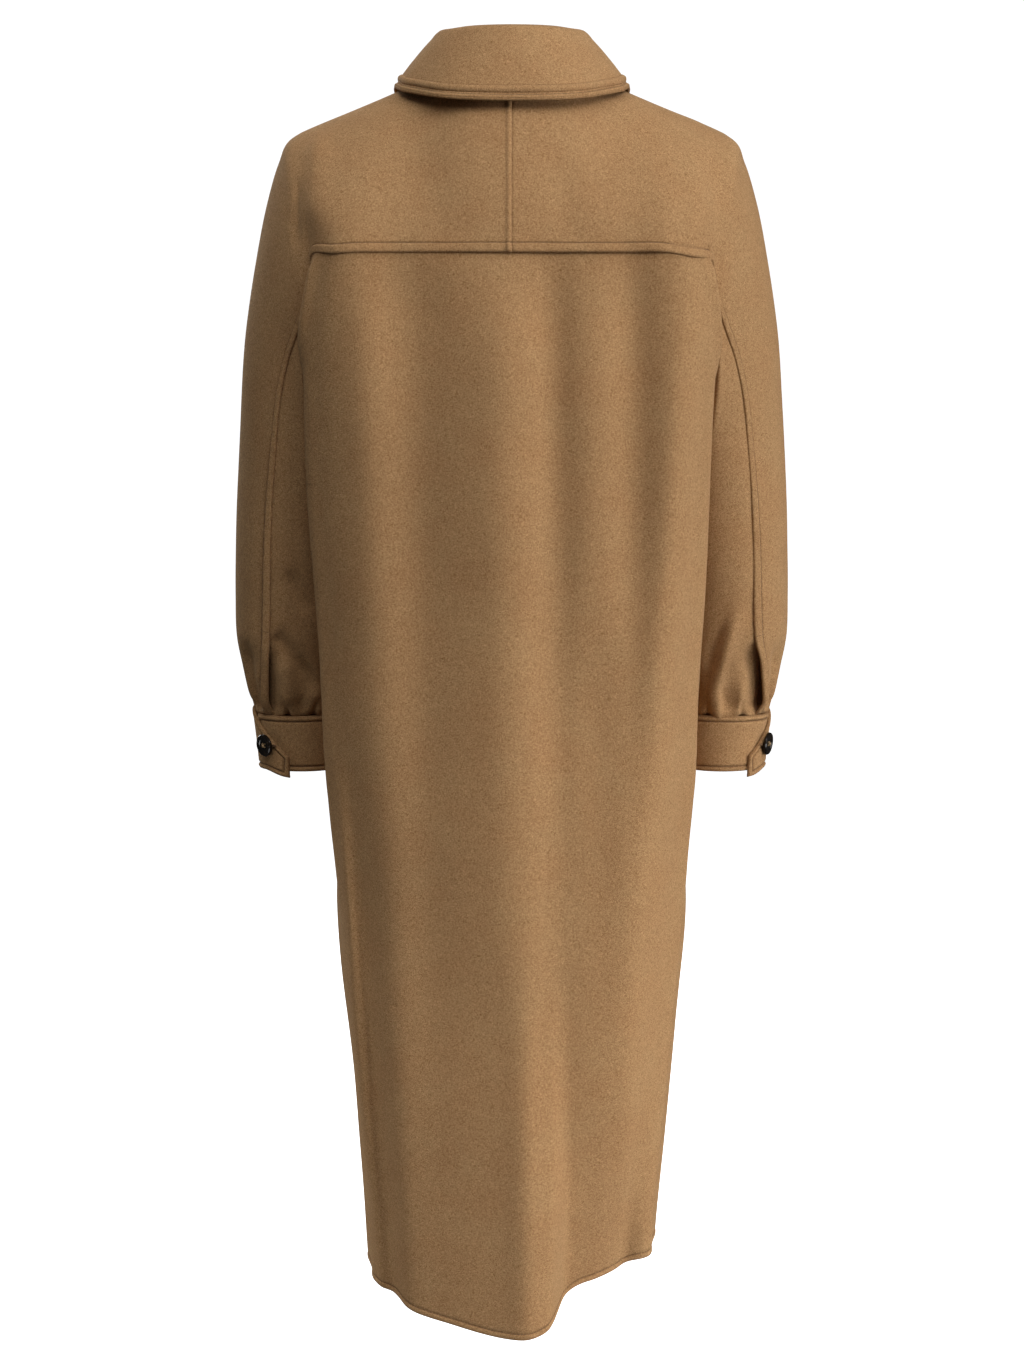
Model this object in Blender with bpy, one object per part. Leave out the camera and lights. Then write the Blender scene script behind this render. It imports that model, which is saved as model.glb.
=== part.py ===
"""Long button-up coat of felted wool, hollow and filled out as it is worn.

Metres, +Z up. The front faces -Y and the wearer's left is +X. The origin is the middle of the
neck opening, where the wearer's neck and shoulders hold the coat. Heights in the tables are
given as "down", the distance below the origin. Every cloth piece is a sheet worked out from
its sections and thickened inwards, and pieces that are sewn together stay a seam gap apart.
"""

import math

import bmesh
import bpy
import numpy as np
from mathutils import Vector

# ------------------------------------------------------------------ driving dimensions

WALL = 0.0020  # felted wool
SEAM_GAP = 0.0003  # between the pieces at a seam
UNDER_LAP = 0.0038  # how far the under front lies inside the over front
LAP_FULL = 0.0320  # from the centre front, where it lies fully inside
LAP_SOFT = 0.0300  # over which it sinks there
YOKE_BACK = 0.1640  # down to the back yoke's seam
YOKE_FRONT = 0.1740  # down to the front yoke's seam
UNDERARM = 0.3850
HEM = 1.2230

BUTTON_RADIUS = 0.0115
BUTTON_THICK = 0.0040
BUTTON_DISH = 0.0012  # how deep its face is turned out inside the rim
FRONT_BUTTONS = 7
FIRST_BUTTON = 0.1150
BUTTON_STEP = 0.1250
CUFF_BUTTON_DOWN = 0.6530

# Places on the ring of the torso: 0 is the centre back and 1 is the centre front.
BLADE, FOLD, SIDE, CHEST = 0.19, 0.36, 0.53, 0.69
FOLD_TURN = 0.042  # how far on either side of the back fold the cloth has turned its corner
FOLD_IN = 0.016  # how far in from the fold's edge the back has turned flat
FOLD_BEHIND = 0.020  # and how far behind it
FOLD_UNDER = 0.3  # of the way from the fold to the side, where the cloth has turned under
FRONT_OVERLAP = 0.036  # of the ring, past the centre front
NECK_OVERLAP = 0.085  # of the neck's half turn, past the centre front
NECK_SIDE = 0.42  # of the yoke's width, where its neck edge meets the shoulder line


def table(names, *rows):
    """A table with named columns: each name gives the array of its column."""
    return dict(zip(names.split(), np.array(rows, dtype=float).T))


# One row for each level of the body, as the coat hangs: the centre back, the shoulder blade,
# the back fold that stands behind the arm, the side under the arm, the chest and the front.
TORSO = table(
    "down back_y blade_x blade_y fold_x fold_y side_x side_y chest_x chest_y front_y right_fold",
    (0.164, 0.118, 0.108, 0.113, 0.191, 0.084, 0.182, -0.006, 0.170, -0.093, -0.118, 0.000),
    (0.250, 0.124, 0.112, 0.118, 0.201, 0.075, 0.166, -0.016, 0.163, -0.099, -0.128, -0.004),
    (0.385, 0.128, 0.116, 0.120, 0.200, 0.067, 0.152, -0.022, 0.154, -0.104, -0.135, -0.008),
    (0.500, 0.129, 0.116, 0.119, 0.192, 0.062, 0.149, -0.020, 0.148, -0.105, -0.137, -0.004),
    (0.600, 0.129, 0.115, 0.118, 0.187, 0.058, 0.151, -0.014, 0.143, -0.102, -0.137, -0.004),
    (0.690, 0.129, 0.113, 0.117, 0.183, 0.052, 0.161, -0.010, 0.140, -0.098, -0.135, -0.002),
    (0.810, 0.128, 0.110, 0.115, 0.1695, 0.050, 0.1735, -0.010, 0.138, -0.094, -0.131, -0.001),
    (0.940, 0.126, 0.106, 0.112, 0.1575, 0.050, 0.1645, -0.012, 0.132, -0.091, -0.127, 0.000),
    (1.060, 0.124, 0.102, 0.108, 0.1495, 0.048, 0.1565, -0.014, 0.125, -0.088, -0.122, 0.000),
    (1.223, 0.121, 0.097, 0.102, 0.140, 0.042, 0.1465, -0.016, 0.116, -0.084, -0.116, 0.000),
)

# One row for each hanging fold: where its crest (or valley, with a negative depth) starts and
# ends across the coat, the heights at which it starts, is full and has gone, and its half width.
BACK_FOLDS = table(
    "x_start x_end start full gone depth spread",
    (0.137, 0.128, 0.150, 0.300, 0.950, 0.0040, 0.026),
    (0.084, 0.070, 0.150, 0.300, 0.900, -0.0050, 0.024),
    (0.014, -0.012, 0.160, 0.300, 1.400, 0.0060, 0.030),
    (-0.045, -0.062, 0.160, 0.300, 1.000, -0.0050, 0.016),
    (-0.086, -0.090, 0.160, 0.280, 0.760, 0.0045, 0.018),
    (-0.124, -0.128, 0.120, 0.240, 0.760, -0.0055, 0.018),
    (-0.166, -0.160, 0.150, 0.300, 0.900, 0.0040, 0.018),
    (-0.030, -0.038, 0.800, 1.150, 1.600, 0.0070, 0.016),
)
FRONT_FOLDS = table(
    "x_start x_end start full gone depth spread",
    (0.108, 0.096, 0.180, 0.340, 1.100, 0.0050, 0.024),
    (0.066, 0.058, 0.180, 0.340, 1.000, -0.0040, 0.020),
    (-0.062, -0.070, 0.200, 0.420, 1.150, -0.0045, 0.022),
    (-0.112, -0.098, 0.180, 0.360, 1.400, 0.0055, 0.026),
)

# The right half of the back hem is turned forwards: how deep it lies behind the fold's ridge.
HEM_RECESS = table(
    "down depth",
    (0.850, 0.000),
    (1.000, 0.008),
    (1.100, 0.022),
    (1.223, 0.044),
)
RECESS_EDGE = 0.036  # to the right of the centre back
RECESS_SOFT = 0.020
RECESS_FADE = 0.100  # where it starts to come back out, towards the side
RECESS_OUT = 0.050

# How far the shirt-tail hem rises round the ring, from the right front to the left front.
HEM_RISE = table(
    "place rise",
    (-1.000, 0.004),
    (-0.850, 0.012),
    (-0.690, 0.042),
    (-0.530, 0.066),
    (-0.450, 0.064),
    (-0.270, 0.051),
    (-0.160, 0.041),
    (-0.105, 0.031),
    (-0.075, 0.012),
    (-0.055, 0.004),
    (0.000, 0.000),
    (0.125, 0.012),
    (0.220, 0.021),
    (0.360, 0.034),
    (0.530, 0.042),
    (0.690, 0.028),
    (0.850, 0.010),
    (1.000, 0.004),
)
HEM_RISE_FROM = 0.900

# The neck's edge from the centre back to the centre front, and the line along the shoulder.
NECK = table(
    "turn x y z",
    (0.00, 0.000, 0.060, 0.018),
    (0.25, 0.050, 0.042, 0.017),
    (0.50, 0.072, -0.004, 0.012),
    (0.75, 0.052, -0.058, -0.028),
    (1.00, 0.000, -0.085, -0.062),
)
SHOULDER = table(
    "along x y z",
    (0.00, 0.072, -0.004, 0.012),
    (0.36, 0.118, -0.008, -0.0075),
    (0.68, 0.155, -0.012, -0.0225),
    (1.00, 0.190, -0.015, -0.0365),
)

# One row for each ring of the sleeve, from the armhole down to the cuff's seam: its outermost
# and innermost points, the middle's y, its depth backwards and forwards, and the angles of its
# back and front seams from the outermost line.
SLEEVE = table(
    "out_x out_down in_x in_down mid_y back front back_seam front_seam",
    (0.2150, 0.0490, 0.1535, 0.390, -0.015, 0.098, 0.094, 73.7, 76.0),
    (0.2295, 0.0740, 0.1560, 0.395, -0.016, 0.092, 0.090, 75.5, 77.0),
    (0.2410, 0.1120, 0.1580, 0.402, -0.017, 0.085, 0.084, 78.0, 78.0),
    (0.2520, 0.1650, 0.1600, 0.412, -0.019, 0.078, 0.078, 77.3, 78.0),
    (0.2620, 0.2280, 0.1620, 0.425, -0.021, 0.072, 0.073, 75.5, 78.0),
    (0.2690, 0.3000, 0.1630, 0.445, -0.024, 0.067, 0.069, 74.3, 78.0),
    (0.2740, 0.3760, 0.1640, 0.475, -0.028, 0.063, 0.066, 72.5, 78.0),
    (0.2770, 0.4450, 0.1650, 0.510, -0.033, 0.061, 0.064, 72.0, 78.0),
    (0.2785, 0.5000, 0.1660, 0.540, -0.038, 0.059, 0.062, 72.0, 78.0),
    (0.2775, 0.5450, 0.1680, 0.565, -0.042, 0.057, 0.059, 70.7, 77.0),
    (0.2725, 0.5750, 0.1700, 0.585, -0.046, 0.053, 0.054, 66.4, 76.0),
    (0.2665, 0.6020, 0.1710, 0.605, -0.049, 0.048, 0.049, 60.0, 75.0),
    (0.2610, 0.6230, 0.1710, 0.6225, -0.051, 0.044, 0.045, 54.5, 74.0),
)
BLENDED_RINGS = 6  # rings over which the under sleeve turns from the armhole's curve to a tube

# Pleats let into the under sleeve and the outer sleeve where they are gathered into the cuff:
# the angle on the ring, the depth, the half width in degrees and the first ring that has it.
CUFF_PLEATS = table(
    "angle depth spread first",
    (20.0, 0.0030, 9.0, 9.0),
    (78.0, 0.0045, 9.0, 9.0),
    (99.0, -0.0040, 8.0, 9.0),
    (118.0, 0.0050, 10.0, 9.0),
    (141.0, -0.0040, 9.0, 9.0),
    (215.0, 0.0035, 13.0, 9.0),
    (262.0, 0.0040, 13.0, 9.0),
)

CUFF = table(
    "out_x out_down in_x in_down mid_y back front",
    (0.2605, 0.6235, 0.1710, 0.6230, -0.051, 0.0440, 0.0450),
    (0.2575, 0.6420, 0.1712, 0.6410, -0.052, 0.0435, 0.0445),
    (0.2555, 0.6610, 0.1716, 0.6600, -0.053, 0.0430, 0.0440),
    (0.2540, 0.6790, 0.1720, 0.6790, -0.054, 0.0425, 0.0435),
)
CUFF_START = 22.0  # the under end, hidden below the flap
CUFF_END = 435.0  # the flap's end, one turn on
FLAP_FROM = 362.0  # where the flap's top edge starts to slope
FLAP_SLOPE = 0.034
FLAP_DIP = 0.006
FLAP_LIFT = 0.0036
CUFF_TURN = {1: 0.0, -1: -20.0}
CUFF_BUTTON = 44.0

# The collar from the centre back to its point: the fold along its top and its outer edge.
COLLAR = table(
    "turn fold_x fold_y fold_z edge_x edge_y edge_z",
    (0.000, 0.0000, 0.0640, 0.0488, 0.0000, 0.0930, -0.0205),
    (0.125, 0.0250, 0.0590, 0.0488, 0.0330, 0.0910, -0.0200),
    (0.250, 0.0470, 0.0460, 0.0487, 0.0650, 0.0780, -0.0175),
    (0.375, 0.0660, 0.0250, 0.0482, 0.0930, 0.0440, -0.0110),
    (0.440, 0.0715, 0.0120, 0.0476, 0.1065, 0.0240, -0.0070),
    (0.500, 0.0735, 0.0000, 0.0468, 0.1105, -0.0020, 0.0005),
    (0.750, 0.0560, -0.0500, 0.0140, 0.0990, -0.0720, -0.0420),
    (1.000, 0.0120, -0.0800, -0.0270, 0.0600, -0.1120, -0.1000),
)
COLLAR_REACH = 0.95  # of the stand's half turn, where the collar's ends are sewn on
STAND_TOP = table(
    "turn x y z",
    (0.00, 0.000, 0.0555, 0.0430),
    (0.25, 0.0435, 0.0380, 0.0425),
    (0.50, 0.0655, -0.0040, 0.0385),
    (0.75, 0.0470, -0.0510, 0.0000),
    (1.00, 0.000, -0.0760, -0.0350),
)


# ------------------------------------------------------------------ curves and surfaces


def hermite(keys, values, slopes, at):
    """Cubic pieces through the values at the keys, with the given slopes there."""
    at = np.clip(np.atleast_1d(np.asarray(at, dtype=float)), keys[0], keys[-1])
    left = np.clip(np.searchsorted(keys, at, side="right") - 1, 0, len(keys) - 2)
    step = keys[left + 1] - keys[left]
    t = (at - keys[left]) / step
    shape = (-1,) + (1,) * (values.ndim - 1)
    t, step = t.reshape(shape), step.reshape(shape)
    return (
        (1 + 2 * t) * (1 - t) ** 2 * values[left]
        + t * (1 - t) ** 2 * step * slopes[left]
        + t**2 * (3 - 2 * t) * values[left + 1]
        + t**2 * (t - 1) * step * slopes[left + 1]
    )


def column_at(keys, values, at):
    """A column of a table between its rows, with no overshoot."""
    rate = np.diff(values) / np.diff(keys)
    slopes = np.concatenate(([rate[0]], 0.5 * (rate[:-1] + rate[1:]), [rate[-1]]))
    same_way = np.concatenate(([1.0], rate[:-1] * rate[1:], [1.0])) > 0
    least = np.minimum(np.abs(np.append(rate, rate[-1])), np.abs(np.insert(rate, 0, rate[0])))
    slopes = np.sign(slopes) * np.minimum(np.abs(slopes), 3 * least) * same_way
    return hermite(keys, values, slopes, at)


def through(keys, points, at):
    """A smooth curve through points."""
    slopes = np.gradient(points, keys, axis=0)
    return hermite(keys, points, slopes, at)


def half_ring(rows, names, turn):
    """A ring given from its centre back to its centre front, closed by its mirror image."""
    points = np.stack([rows[name] for name in names.split()], axis=1)
    flip = np.array([-1.0, 1.0, 1.0])
    keys = rows["turn"]
    keys = np.concatenate(([-keys[1]], keys, [2 - keys[-2]]))
    points = np.vstack((points[1] * flip, points, points[-2] * flip))
    return through(keys, points, turn)


def ease(x):
    """0 below 0, 1 above 1 and soft in between."""
    x = np.clip(x, 0.0, 1.0)
    return x * x * (3 - 2 * x)


def fold_relief(folds, x, down):
    """How far the hanging folds push the cloth out at x."""
    relief = np.zeros_like(x)
    for start_x, end_x, start, full, gone, depth, spread in zip(*folds.values()):
        middle = start_x + (end_x - start_x) * np.clip((down - start) / (HEM - start), 0, 1)
        size = depth * ease((down - start) / (full - start)) * ease((gone - down) / (gone - full))
        relief += size * np.exp(-(((x - middle) / spread) ** 2))
    return relief


def torso(place, down):
    """Points of the body's ring at one level, for places from -1 to 1 and a little past."""
    place = (np.atleast_1d(np.asarray(place, dtype=float)) + 1) % 2 - 1
    row = {name: column_at(TORSO["down"], TORSO[name], down)[0] for name in TORSO}
    side = np.where(place < 0, -1.0, 1.0)
    keys = [-BLADE, 0.0, BLADE, FOLD - FOLD_TURN, FOLD, FOLD + FOLD_TURN, SIDE, CHEST, 1.0]
    keys = np.array(keys + [2 - CHEST])
    points = np.zeros((len(place), 3))
    for sign in (1.0, -1.0):
        fold_x = row["fold_x"] + (row["right_fold"] if sign < 0 else 0.0)
        under_x = fold_x + FOLD_UNDER * (row["side_x"] - fold_x)
        under_y = row["fold_y"] + FOLD_UNDER * (row["side_y"] - row["fold_y"])
        ring = np.array(
            [
                (-row["blade_x"], row["blade_y"]),
                (0.0, row["back_y"]),
                (row["blade_x"], row["blade_y"]),
                (fold_x - FOLD_IN, row["fold_y"] + FOLD_BEHIND),
                (fold_x, row["fold_y"]),
                (under_x, under_y),
                (row["side_x"], row["side_y"]),
                (row["chest_x"], row["chest_y"]),
                (0.0, row["front_y"]),
                (-row["chest_x"], row["chest_y"]),
            ]
        )
        here = side == sign
        points[here, :2] = through(keys, ring, np.abs(place[here]))
        points[here, 0] *= sign
    x, y = points[:, 0], points[:, 1]
    at_back = ease((y - 0.02) / 0.07)
    at_front = ease((-y - 0.05) / 0.05)
    recess = column_at(HEM_RECESS["down"], HEM_RECESS["depth"], down)[0]
    recess = recess * ease((-x - RECESS_EDGE) / RECESS_SOFT)
    recess = recess * (1 - ease((-x - RECESS_FADE) / RECESS_OUT))
    points[:, 1] += at_back * fold_relief(BACK_FOLDS, x, down)
    points[:, 1] -= at_back * recess
    points[:, 1] -= at_front * fold_relief(FRONT_FOLDS, x, down)
    rise = column_at(HEM_RISE["place"], HEM_RISE["rise"], place)
    points[:, 2] = -down + rise * ease((down - HEM_RISE_FROM) / (HEM - HEM_RISE_FROM)) ** 1.5
    return points


def lapped(points, sign):
    """Near the centre front the left side is the under side, so it lies further in."""
    if sign > 0:
        sunk = ease((LAP_FULL + LAP_SOFT - points[:, 0]) / LAP_SOFT)
        points[:, 1] += UNDER_LAP * sunk * (points[:, 1] < 0)
    return points


def shoulder(along):
    """The line from the side of the neck to the top of the armhole."""
    points = np.stack([SHOULDER[name] for name in "x y z".split()], axis=1)
    return through(SHOULDER["along"], points, along)[0]


def yoke_section(width, back, sign, parts):
    """A line up the yoke from its seam to the neck's edge or to the shoulder line.

    width is 0 at the centre and 1 at the armhole, and a little under 0 past the centre front.
    """
    past = max(-width, 0.0)
    width = max(width, 0.0)
    if back:
        low = torso(sign * width * FOLD, YOKE_BACK)[0]
    else:
        low = torso(sign * (1 - width * (1 - CHEST) + past), YOKE_FRONT)[0]
    turn = 0.5 * width / NECK_SIDE
    if turn <= 0.5:
        neck_turn = turn if back else 1 - turn + past * NECK_OVERLAP / FRONT_OVERLAP
        top = half_ring(NECK, "x y z", neck_turn)[0]
    else:
        top = shoulder((width - NECK_SIDE) / (1 - NECK_SIDE))
    top = top * np.array([sign, 1.0, 1.0])
    across = ease((turn + past * NECK_OVERLAP / FRONT_OVERLAP) / 0.5)
    steep = np.array([0.0, 0.014, -0.046]) if back else np.array([0.0, -0.010, -0.030])
    level = np.array([0.0, 0.046, -0.008]) if back else np.array([0.0, -0.044, -0.006])
    controls = (
        low,
        low + np.array([0.0, -0.004 if back else 0.004, 0.055]),
        top + steep * (1 - across) + level * across,
        top,
    )
    t = np.asarray(parts)[:, None]
    weights = ((1 - t) ** 3, 3 * t * (1 - t) ** 2, 3 * t**2 * (1 - t), t**3)
    return sum(weight * point for weight, point in zip(weights, controls))


def tube_ring(rows, index, angles, sign):
    """Points of one ring of a tube: angle 0 is outermost, 90 is at the back."""
    row = {name: rows[name][index] for name in rows}
    outer = np.array([row["out_x"], row["mid_y"], -row["out_down"]])
    inner = np.array([row["in_x"], row["mid_y"], -row["in_down"]])
    angles = np.radians(np.asarray(angles, dtype=float))
    depth = np.where(np.sin(angles) > 0, row["back"], row["front"])
    points = (outer + inner) / 2 + np.cos(angles)[:, None] * (outer - inner) / 2
    points[:, 1] += depth * np.sin(angles)
    points[:, 0] *= sign
    return points


def sleeve_ring(index, angles, sign):
    """A ring of the sleeve, with the pleats that gather it into the cuff."""
    angles = np.asarray(angles, dtype=float)
    points = tube_ring(SLEEVE, index, angles, sign)
    centre = tube_ring(SLEEVE, index, [0.0, 180.0], sign).mean(axis=0)
    relief = np.zeros(len(angles))
    last = len(SLEEVE["back"]) - 1
    for angle, depth, spread, first in zip(*CUFF_PLEATS.values()):
        away = (angles - angle + 180) % 360 - 180
        grown = ease((index - first) / (last - 1 - first)) if index < last else 0.45
        relief += depth * grown * np.exp(-((away / spread) ** 2))
    outward = points - centre
    outward /= np.linalg.norm(outward, axis=1)[:, None]
    return points + outward * relief[:, None]


def seam_angles(index, sign):
    """The angles of the sleeve's back and front seams on one ring."""
    towards_cuff = ease((index - 8) / 4)
    back = SLEEVE["back_seam"][index] + 0.45 * CUFF_TURN[sign] * towards_cuff
    return back, SLEEVE["front_seam"][index]


def armhole(part, sign):
    """The armhole's curve under the arm: 0 is at the back yoke, 1 at the front yoke."""
    if part <= 0.5:
        angle = math.pi * part
        down = YOKE_BACK + (UNDERARM - YOKE_BACK) * math.sin(angle)
        place = FOLD + (SIDE - FOLD) * (1 - math.cos(angle))
    else:
        angle = math.pi * (1 - part)
        down = YOKE_FRONT + (UNDERARM - YOKE_FRONT) * math.sin(angle)
        place = CHEST - (CHEST - SIDE) * (1 - math.cos(angle))
    return torso(sign * place, down)[0]


# ------------------------------------------------------------------ making solids


def material(name, colour, roughness):
    """A plain shader with the piece's colour."""
    made = bpy.data.materials.new(name)
    made.use_nodes = True
    shader = made.node_tree.nodes["Principled BSDF"]
    shader.inputs["Base Color"].default_value = (*colour, 1.0)
    shader.inputs["Roughness"].default_value = roughness
    shader.inputs["Metallic"].default_value = 0.0
    return made


def rimmed(places, rim, both=True):
    """Places along a piece, with one more close to its seams so that its wall meets them square."""
    ends = [places[-1] - rim, places[-1]] if both else [places[-1]]
    return np.array([places[0], places[0] + rim, *places[1:-1], *ends])


def trimmed(grid, **edges):
    """Draws edges of a grid in by the given lengths: first, last (rows), left, right."""
    grid = grid.copy()
    for edge, length in edges.items():
        rows = grid if edge in ("first", "last") else grid.transpose(1, 0, 2)
        rim, inside = (0, 1) if edge in ("first", "left") else (-1, -2)
        way = rows[inside] - rows[rim]
        length = np.broadcast_to(length, len(way))[:, None]
        rows[rim] += length * way / np.linalg.norm(way, axis=1)[:, None]
    return grid


def cloth(name, grids, finish, flip):
    """A sheet of cloth over one or more grids, welded where they meet, as a thin wall."""
    built = bmesh.new()
    for grid in grids:
        verts = [[built.verts.new(point) for point in row] for row in grid]
        for row, following in zip(verts[:-1], verts[1:]):
            for corner in range(len(row) - 1):
                quad = [row[corner], row[corner + 1], following[corner + 1], following[corner]]
                built.faces.new(quad[::-1] if flip else quad)
    bmesh.ops.remove_doubles(built, verts=built.verts, dist=0.00002)
    mesh = bpy.data.meshes.new(name)
    built.to_mesh(mesh)
    built.free()
    mesh.materials.append(finish)
    mesh.shade_smooth()
    piece = bpy.data.objects.new(name, mesh)
    bpy.context.collection.objects.link(piece)
    wall = piece.modifiers.new("Wall", "SOLIDIFY")
    wall.thickness = WALL
    wall.offset = -1.0
    return piece


def button(name, place, facing, finish):
    """A round horn button, turned with a raised rim and a dished face."""
    profile = (
        (0.72, 0.0),
        (1.0, 0.30),
        (1.0, 0.78),
        (0.88, 1.0),
        (0.72, 0.95),
        (0.60, 1.0 - BUTTON_DISH / BUTTON_THICK),
    )
    sides = 14
    built = bmesh.new()
    rings = []
    for radius, height in profile:
        ring = []
        for step in range(sides):
            angle = 2 * math.pi * step / sides
            out = radius * BUTTON_RADIUS
            point = (out * math.cos(angle), out * math.sin(angle), height * BUTTON_THICK)
            ring.append(built.verts.new(point))
        rings.append(ring)
    for low, high in zip(rings[:-1], rings[1:]):
        for step in range(sides):
            after = (step + 1) % sides
            built.faces.new((low[step], low[after], high[after], high[step]))
    built.faces.new(rings[0][::-1])
    built.faces.new(rings[-1])
    mesh = bpy.data.meshes.new(name)
    built.to_mesh(mesh)
    built.free()
    mesh.materials.append(finish)
    piece = bpy.data.objects.new(name, mesh)
    bpy.context.collection.objects.link(piece)
    piece.location = place
    piece.rotation_euler = facing.to_track_quat("Z", "Y").to_euler()
    return piece


# ------------------------------------------------------------------ the pieces

ARMHOLE_ROWS = 6
BODY_ROWS = 15
BACK_COLUMNS = 28
FRONT_COLUMNS = 13
YOKE_ROWS = 6
NECK_COLUMNS = 4
UNDER_COLUMNS = 12
HALF_GAP = SEAM_GAP / 2
CORNER_GAP = 0.0015  # more where the armhole's corner brings three walls together
BODY_RIM = 0.04  # of one row
COLUMN_RIM = 0.008  # of a panel's width
YOKE_RIM = 0.02  # of the yoke's section
WIDTH_RIM = 0.010  # of the yoke's width
UNDER_RIM = 0.012  # of the under sleeve's ring


def body_levels(top):
    """The levels of a body panel's rows, and how far round the armhole each one's edge is."""
    levels = []
    for step in rimmed(np.arange(ARMHOLE_ROWS + 1.0), BODY_RIM)[:-2]:
        angle = 0.5 * math.pi * step / ARMHOLE_ROWS
        levels.append((top + (UNDERARM - top) * math.sin(angle), 1 - math.cos(angle)))
    for step in range(BODY_ROWS + 1):
        levels.append((UNDERARM + (HEM - UNDERARM) * step / BODY_ROWS, 1.0))
    return levels


def back_body(finish):
    """The one-piece back below the yoke, from side seam to side seam."""
    rows = []
    for down, turned in body_levels(YOKE_BACK):
        edge = FOLD + (SIDE - FOLD) * turned
        parts = rimmed(np.linspace(-1, 1, BACK_COLUMNS + 1), COLUMN_RIM)
        rows.append(torso(edge * parts, down))
    grid = trimmed(np.array(rows), first=HALF_GAP, left=HALF_GAP, right=HALF_GAP)
    return cloth("back_body", [grid], finish, flip=False)


def front_body(name, sign, finish):
    """A front below the yoke, from the side seam to past the centre front."""
    rows = []
    for down, turned in body_levels(YOKE_FRONT):
        edge = CHEST + (SIDE - CHEST) * turned
        parts = rimmed(np.linspace(0, 1, FRONT_COLUMNS + 1), COLUMN_RIM, both=False)
        places = edge + (1 + FRONT_OVERLAP - edge) * parts
        rows.append(lapped(torso(sign * places, down), sign))
    grid = trimmed(np.array(rows), first=HALF_GAP, left=HALF_GAP)
    return cloth(name, [grid], finish, flip=sign < 0)


def yoke_sleeve(name, sign, finish):
    """Half the yoke, back and front, cut in one with the outer sleeve down to the cuff."""
    neck_widths = NECK_SIDE * rimmed(np.linspace(0, 1, NECK_COLUMNS + 1), WIDTH_RIM, both=False)
    widths = [*neck_widths, 0.56, 0.70, 0.85, 1.0]
    parts = rimmed(np.linspace(0, 1, YOKE_ROWS + 1), YOKE_RIM, both=False)
    sleeve_rings = range(len(SLEEVE["back"]))
    halves = []
    for back in (True, False):
        first = [] if back else [-FRONT_OVERLAP, -FRONT_OVERLAP / 2]
        columns = [yoke_section(width, back, sign, parts) for width in first + widths]
        if not back:
            columns = [lapped(column, sign) for column in columns]
        for index in sleeve_rings:
            back_seam, front_seam = seam_angles(index, sign)
            start = back_seam if back else -front_seam
            columns.append(sleeve_ring(index, start * (1 - parts), sign))
        grid = np.array(columns)
        centre = {"first": HALF_GAP} if back else {}
        halves.append(trimmed(grid, left=HALF_GAP, last=HALF_GAP, **centre))
    halves[1] = halves[1][:, ::-1]
    return cloth(name, halves, finish, flip=sign < 0)


def under_sleeve(name, sign, finish):
    """The under sleeve, from the armhole below the arm to the cuff, gathered at its end."""
    parts = rimmed(np.linspace(0, 1, UNDER_COLUMNS + 1), UNDER_RIM)
    hole = np.array([armhole(part, sign) for part in parts])
    rows = [hole]
    for index in range(len(SLEEVE["back"])):
        back_seam, front_seam = seam_angles(index, sign)
        ring = sleeve_ring(index, back_seam + (360 - back_seam - front_seam) * parts, sign)
        carried = hole + (ring[0] - hole[0]) * (1 - parts[:, None])
        carried += (ring[-1] - hole[-1]) * parts[:, None]
        tube = ease((index + 1) / BLENDED_RINGS)
        rows.append(carried * (1 - tube) + ring * tube)
    near_hole = np.clip(1 - np.arange(len(rows)) / BLENDED_RINGS, 0, 1)
    near_yoke = np.clip(np.abs(2 * parts - 1) * 2 - 1, 0, 1)
    side_gap = HALF_GAP + CORNER_GAP * near_hole
    grid = trimmed(np.array(rows), left=side_gap, right=side_gap)
    grid = trimmed(grid, first=SEAM_GAP + 2 * CORNER_GAP * near_yoke, last=HALF_GAP)
    return cloth(name, [grid], finish, flip=sign > 0)


def cuff_section(angle, sign, count):
    """A line down the cuff at an angle that runs from its under end to the flap's end."""
    turned = angle + CUFF_TURN[sign]
    line = np.array([tube_ring(CUFF, row, [turned], sign)[0] for row in range(4)])
    centre = np.array([tube_ring(CUFF, row, [0, 180], sign).mean(axis=0) for row in range(4)])
    outward = line - centre
    outward /= np.linalg.norm(outward, axis=1)[:, None]
    line += outward * FLAP_LIFT * ease((angle - 330) / 50)
    slope = FLAP_SLOPE * np.clip((angle - FLAP_FROM) / (CUFF_END - FLAP_FROM), 0, 1) ** 1.2
    height = line[0, 2] - line[-1, 2]
    down = np.linspace(slope / height, 1, count + 1)
    points = through(np.linspace(0, 1, 4), line, down)
    points[:, 2] -= FLAP_DIP * ease((angle - 395) / 40) * down
    return points


def cuff(name, sign, finish):
    """The cuff's band round the wrist, its flap lapped over the under end."""
    angles = np.linspace(CUFF_START, CUFF_END, 29)
    grid = np.array([cuff_section(angle, sign, 3) for angle in angles])
    grid = trimmed(grid, left=HALF_GAP)
    return cloth(name, [grid], finish, flip=sign < 0)


def collar_stand(finish):
    """The band sewn to the neck's edge, its right end lapped over the left at the front."""
    past = NECK_OVERLAP
    columns = []
    turns = np.linspace(-1, 1, 4 * NECK_COLUMNS + 1)
    for turn in [-1 - past, *turns, 1 + past]:
        sign = 1.0 if turn >= 0 else -1.0
        low = half_ring(NECK, "x y z", abs(turn))[0] * np.array([sign, 1, 1])
        top = half_ring(STAND_TOP, "x y z", abs(turn))[0] * np.array([sign, 1, 1])
        line = low + (top - low) * np.linspace(0, 1, 3)[:, None]
        line[:, 2] += SEAM_GAP
        columns.append(lapped(line, turn))
    return cloth("collar_stand", [np.array(columns)], finish, flip=False)


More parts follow.
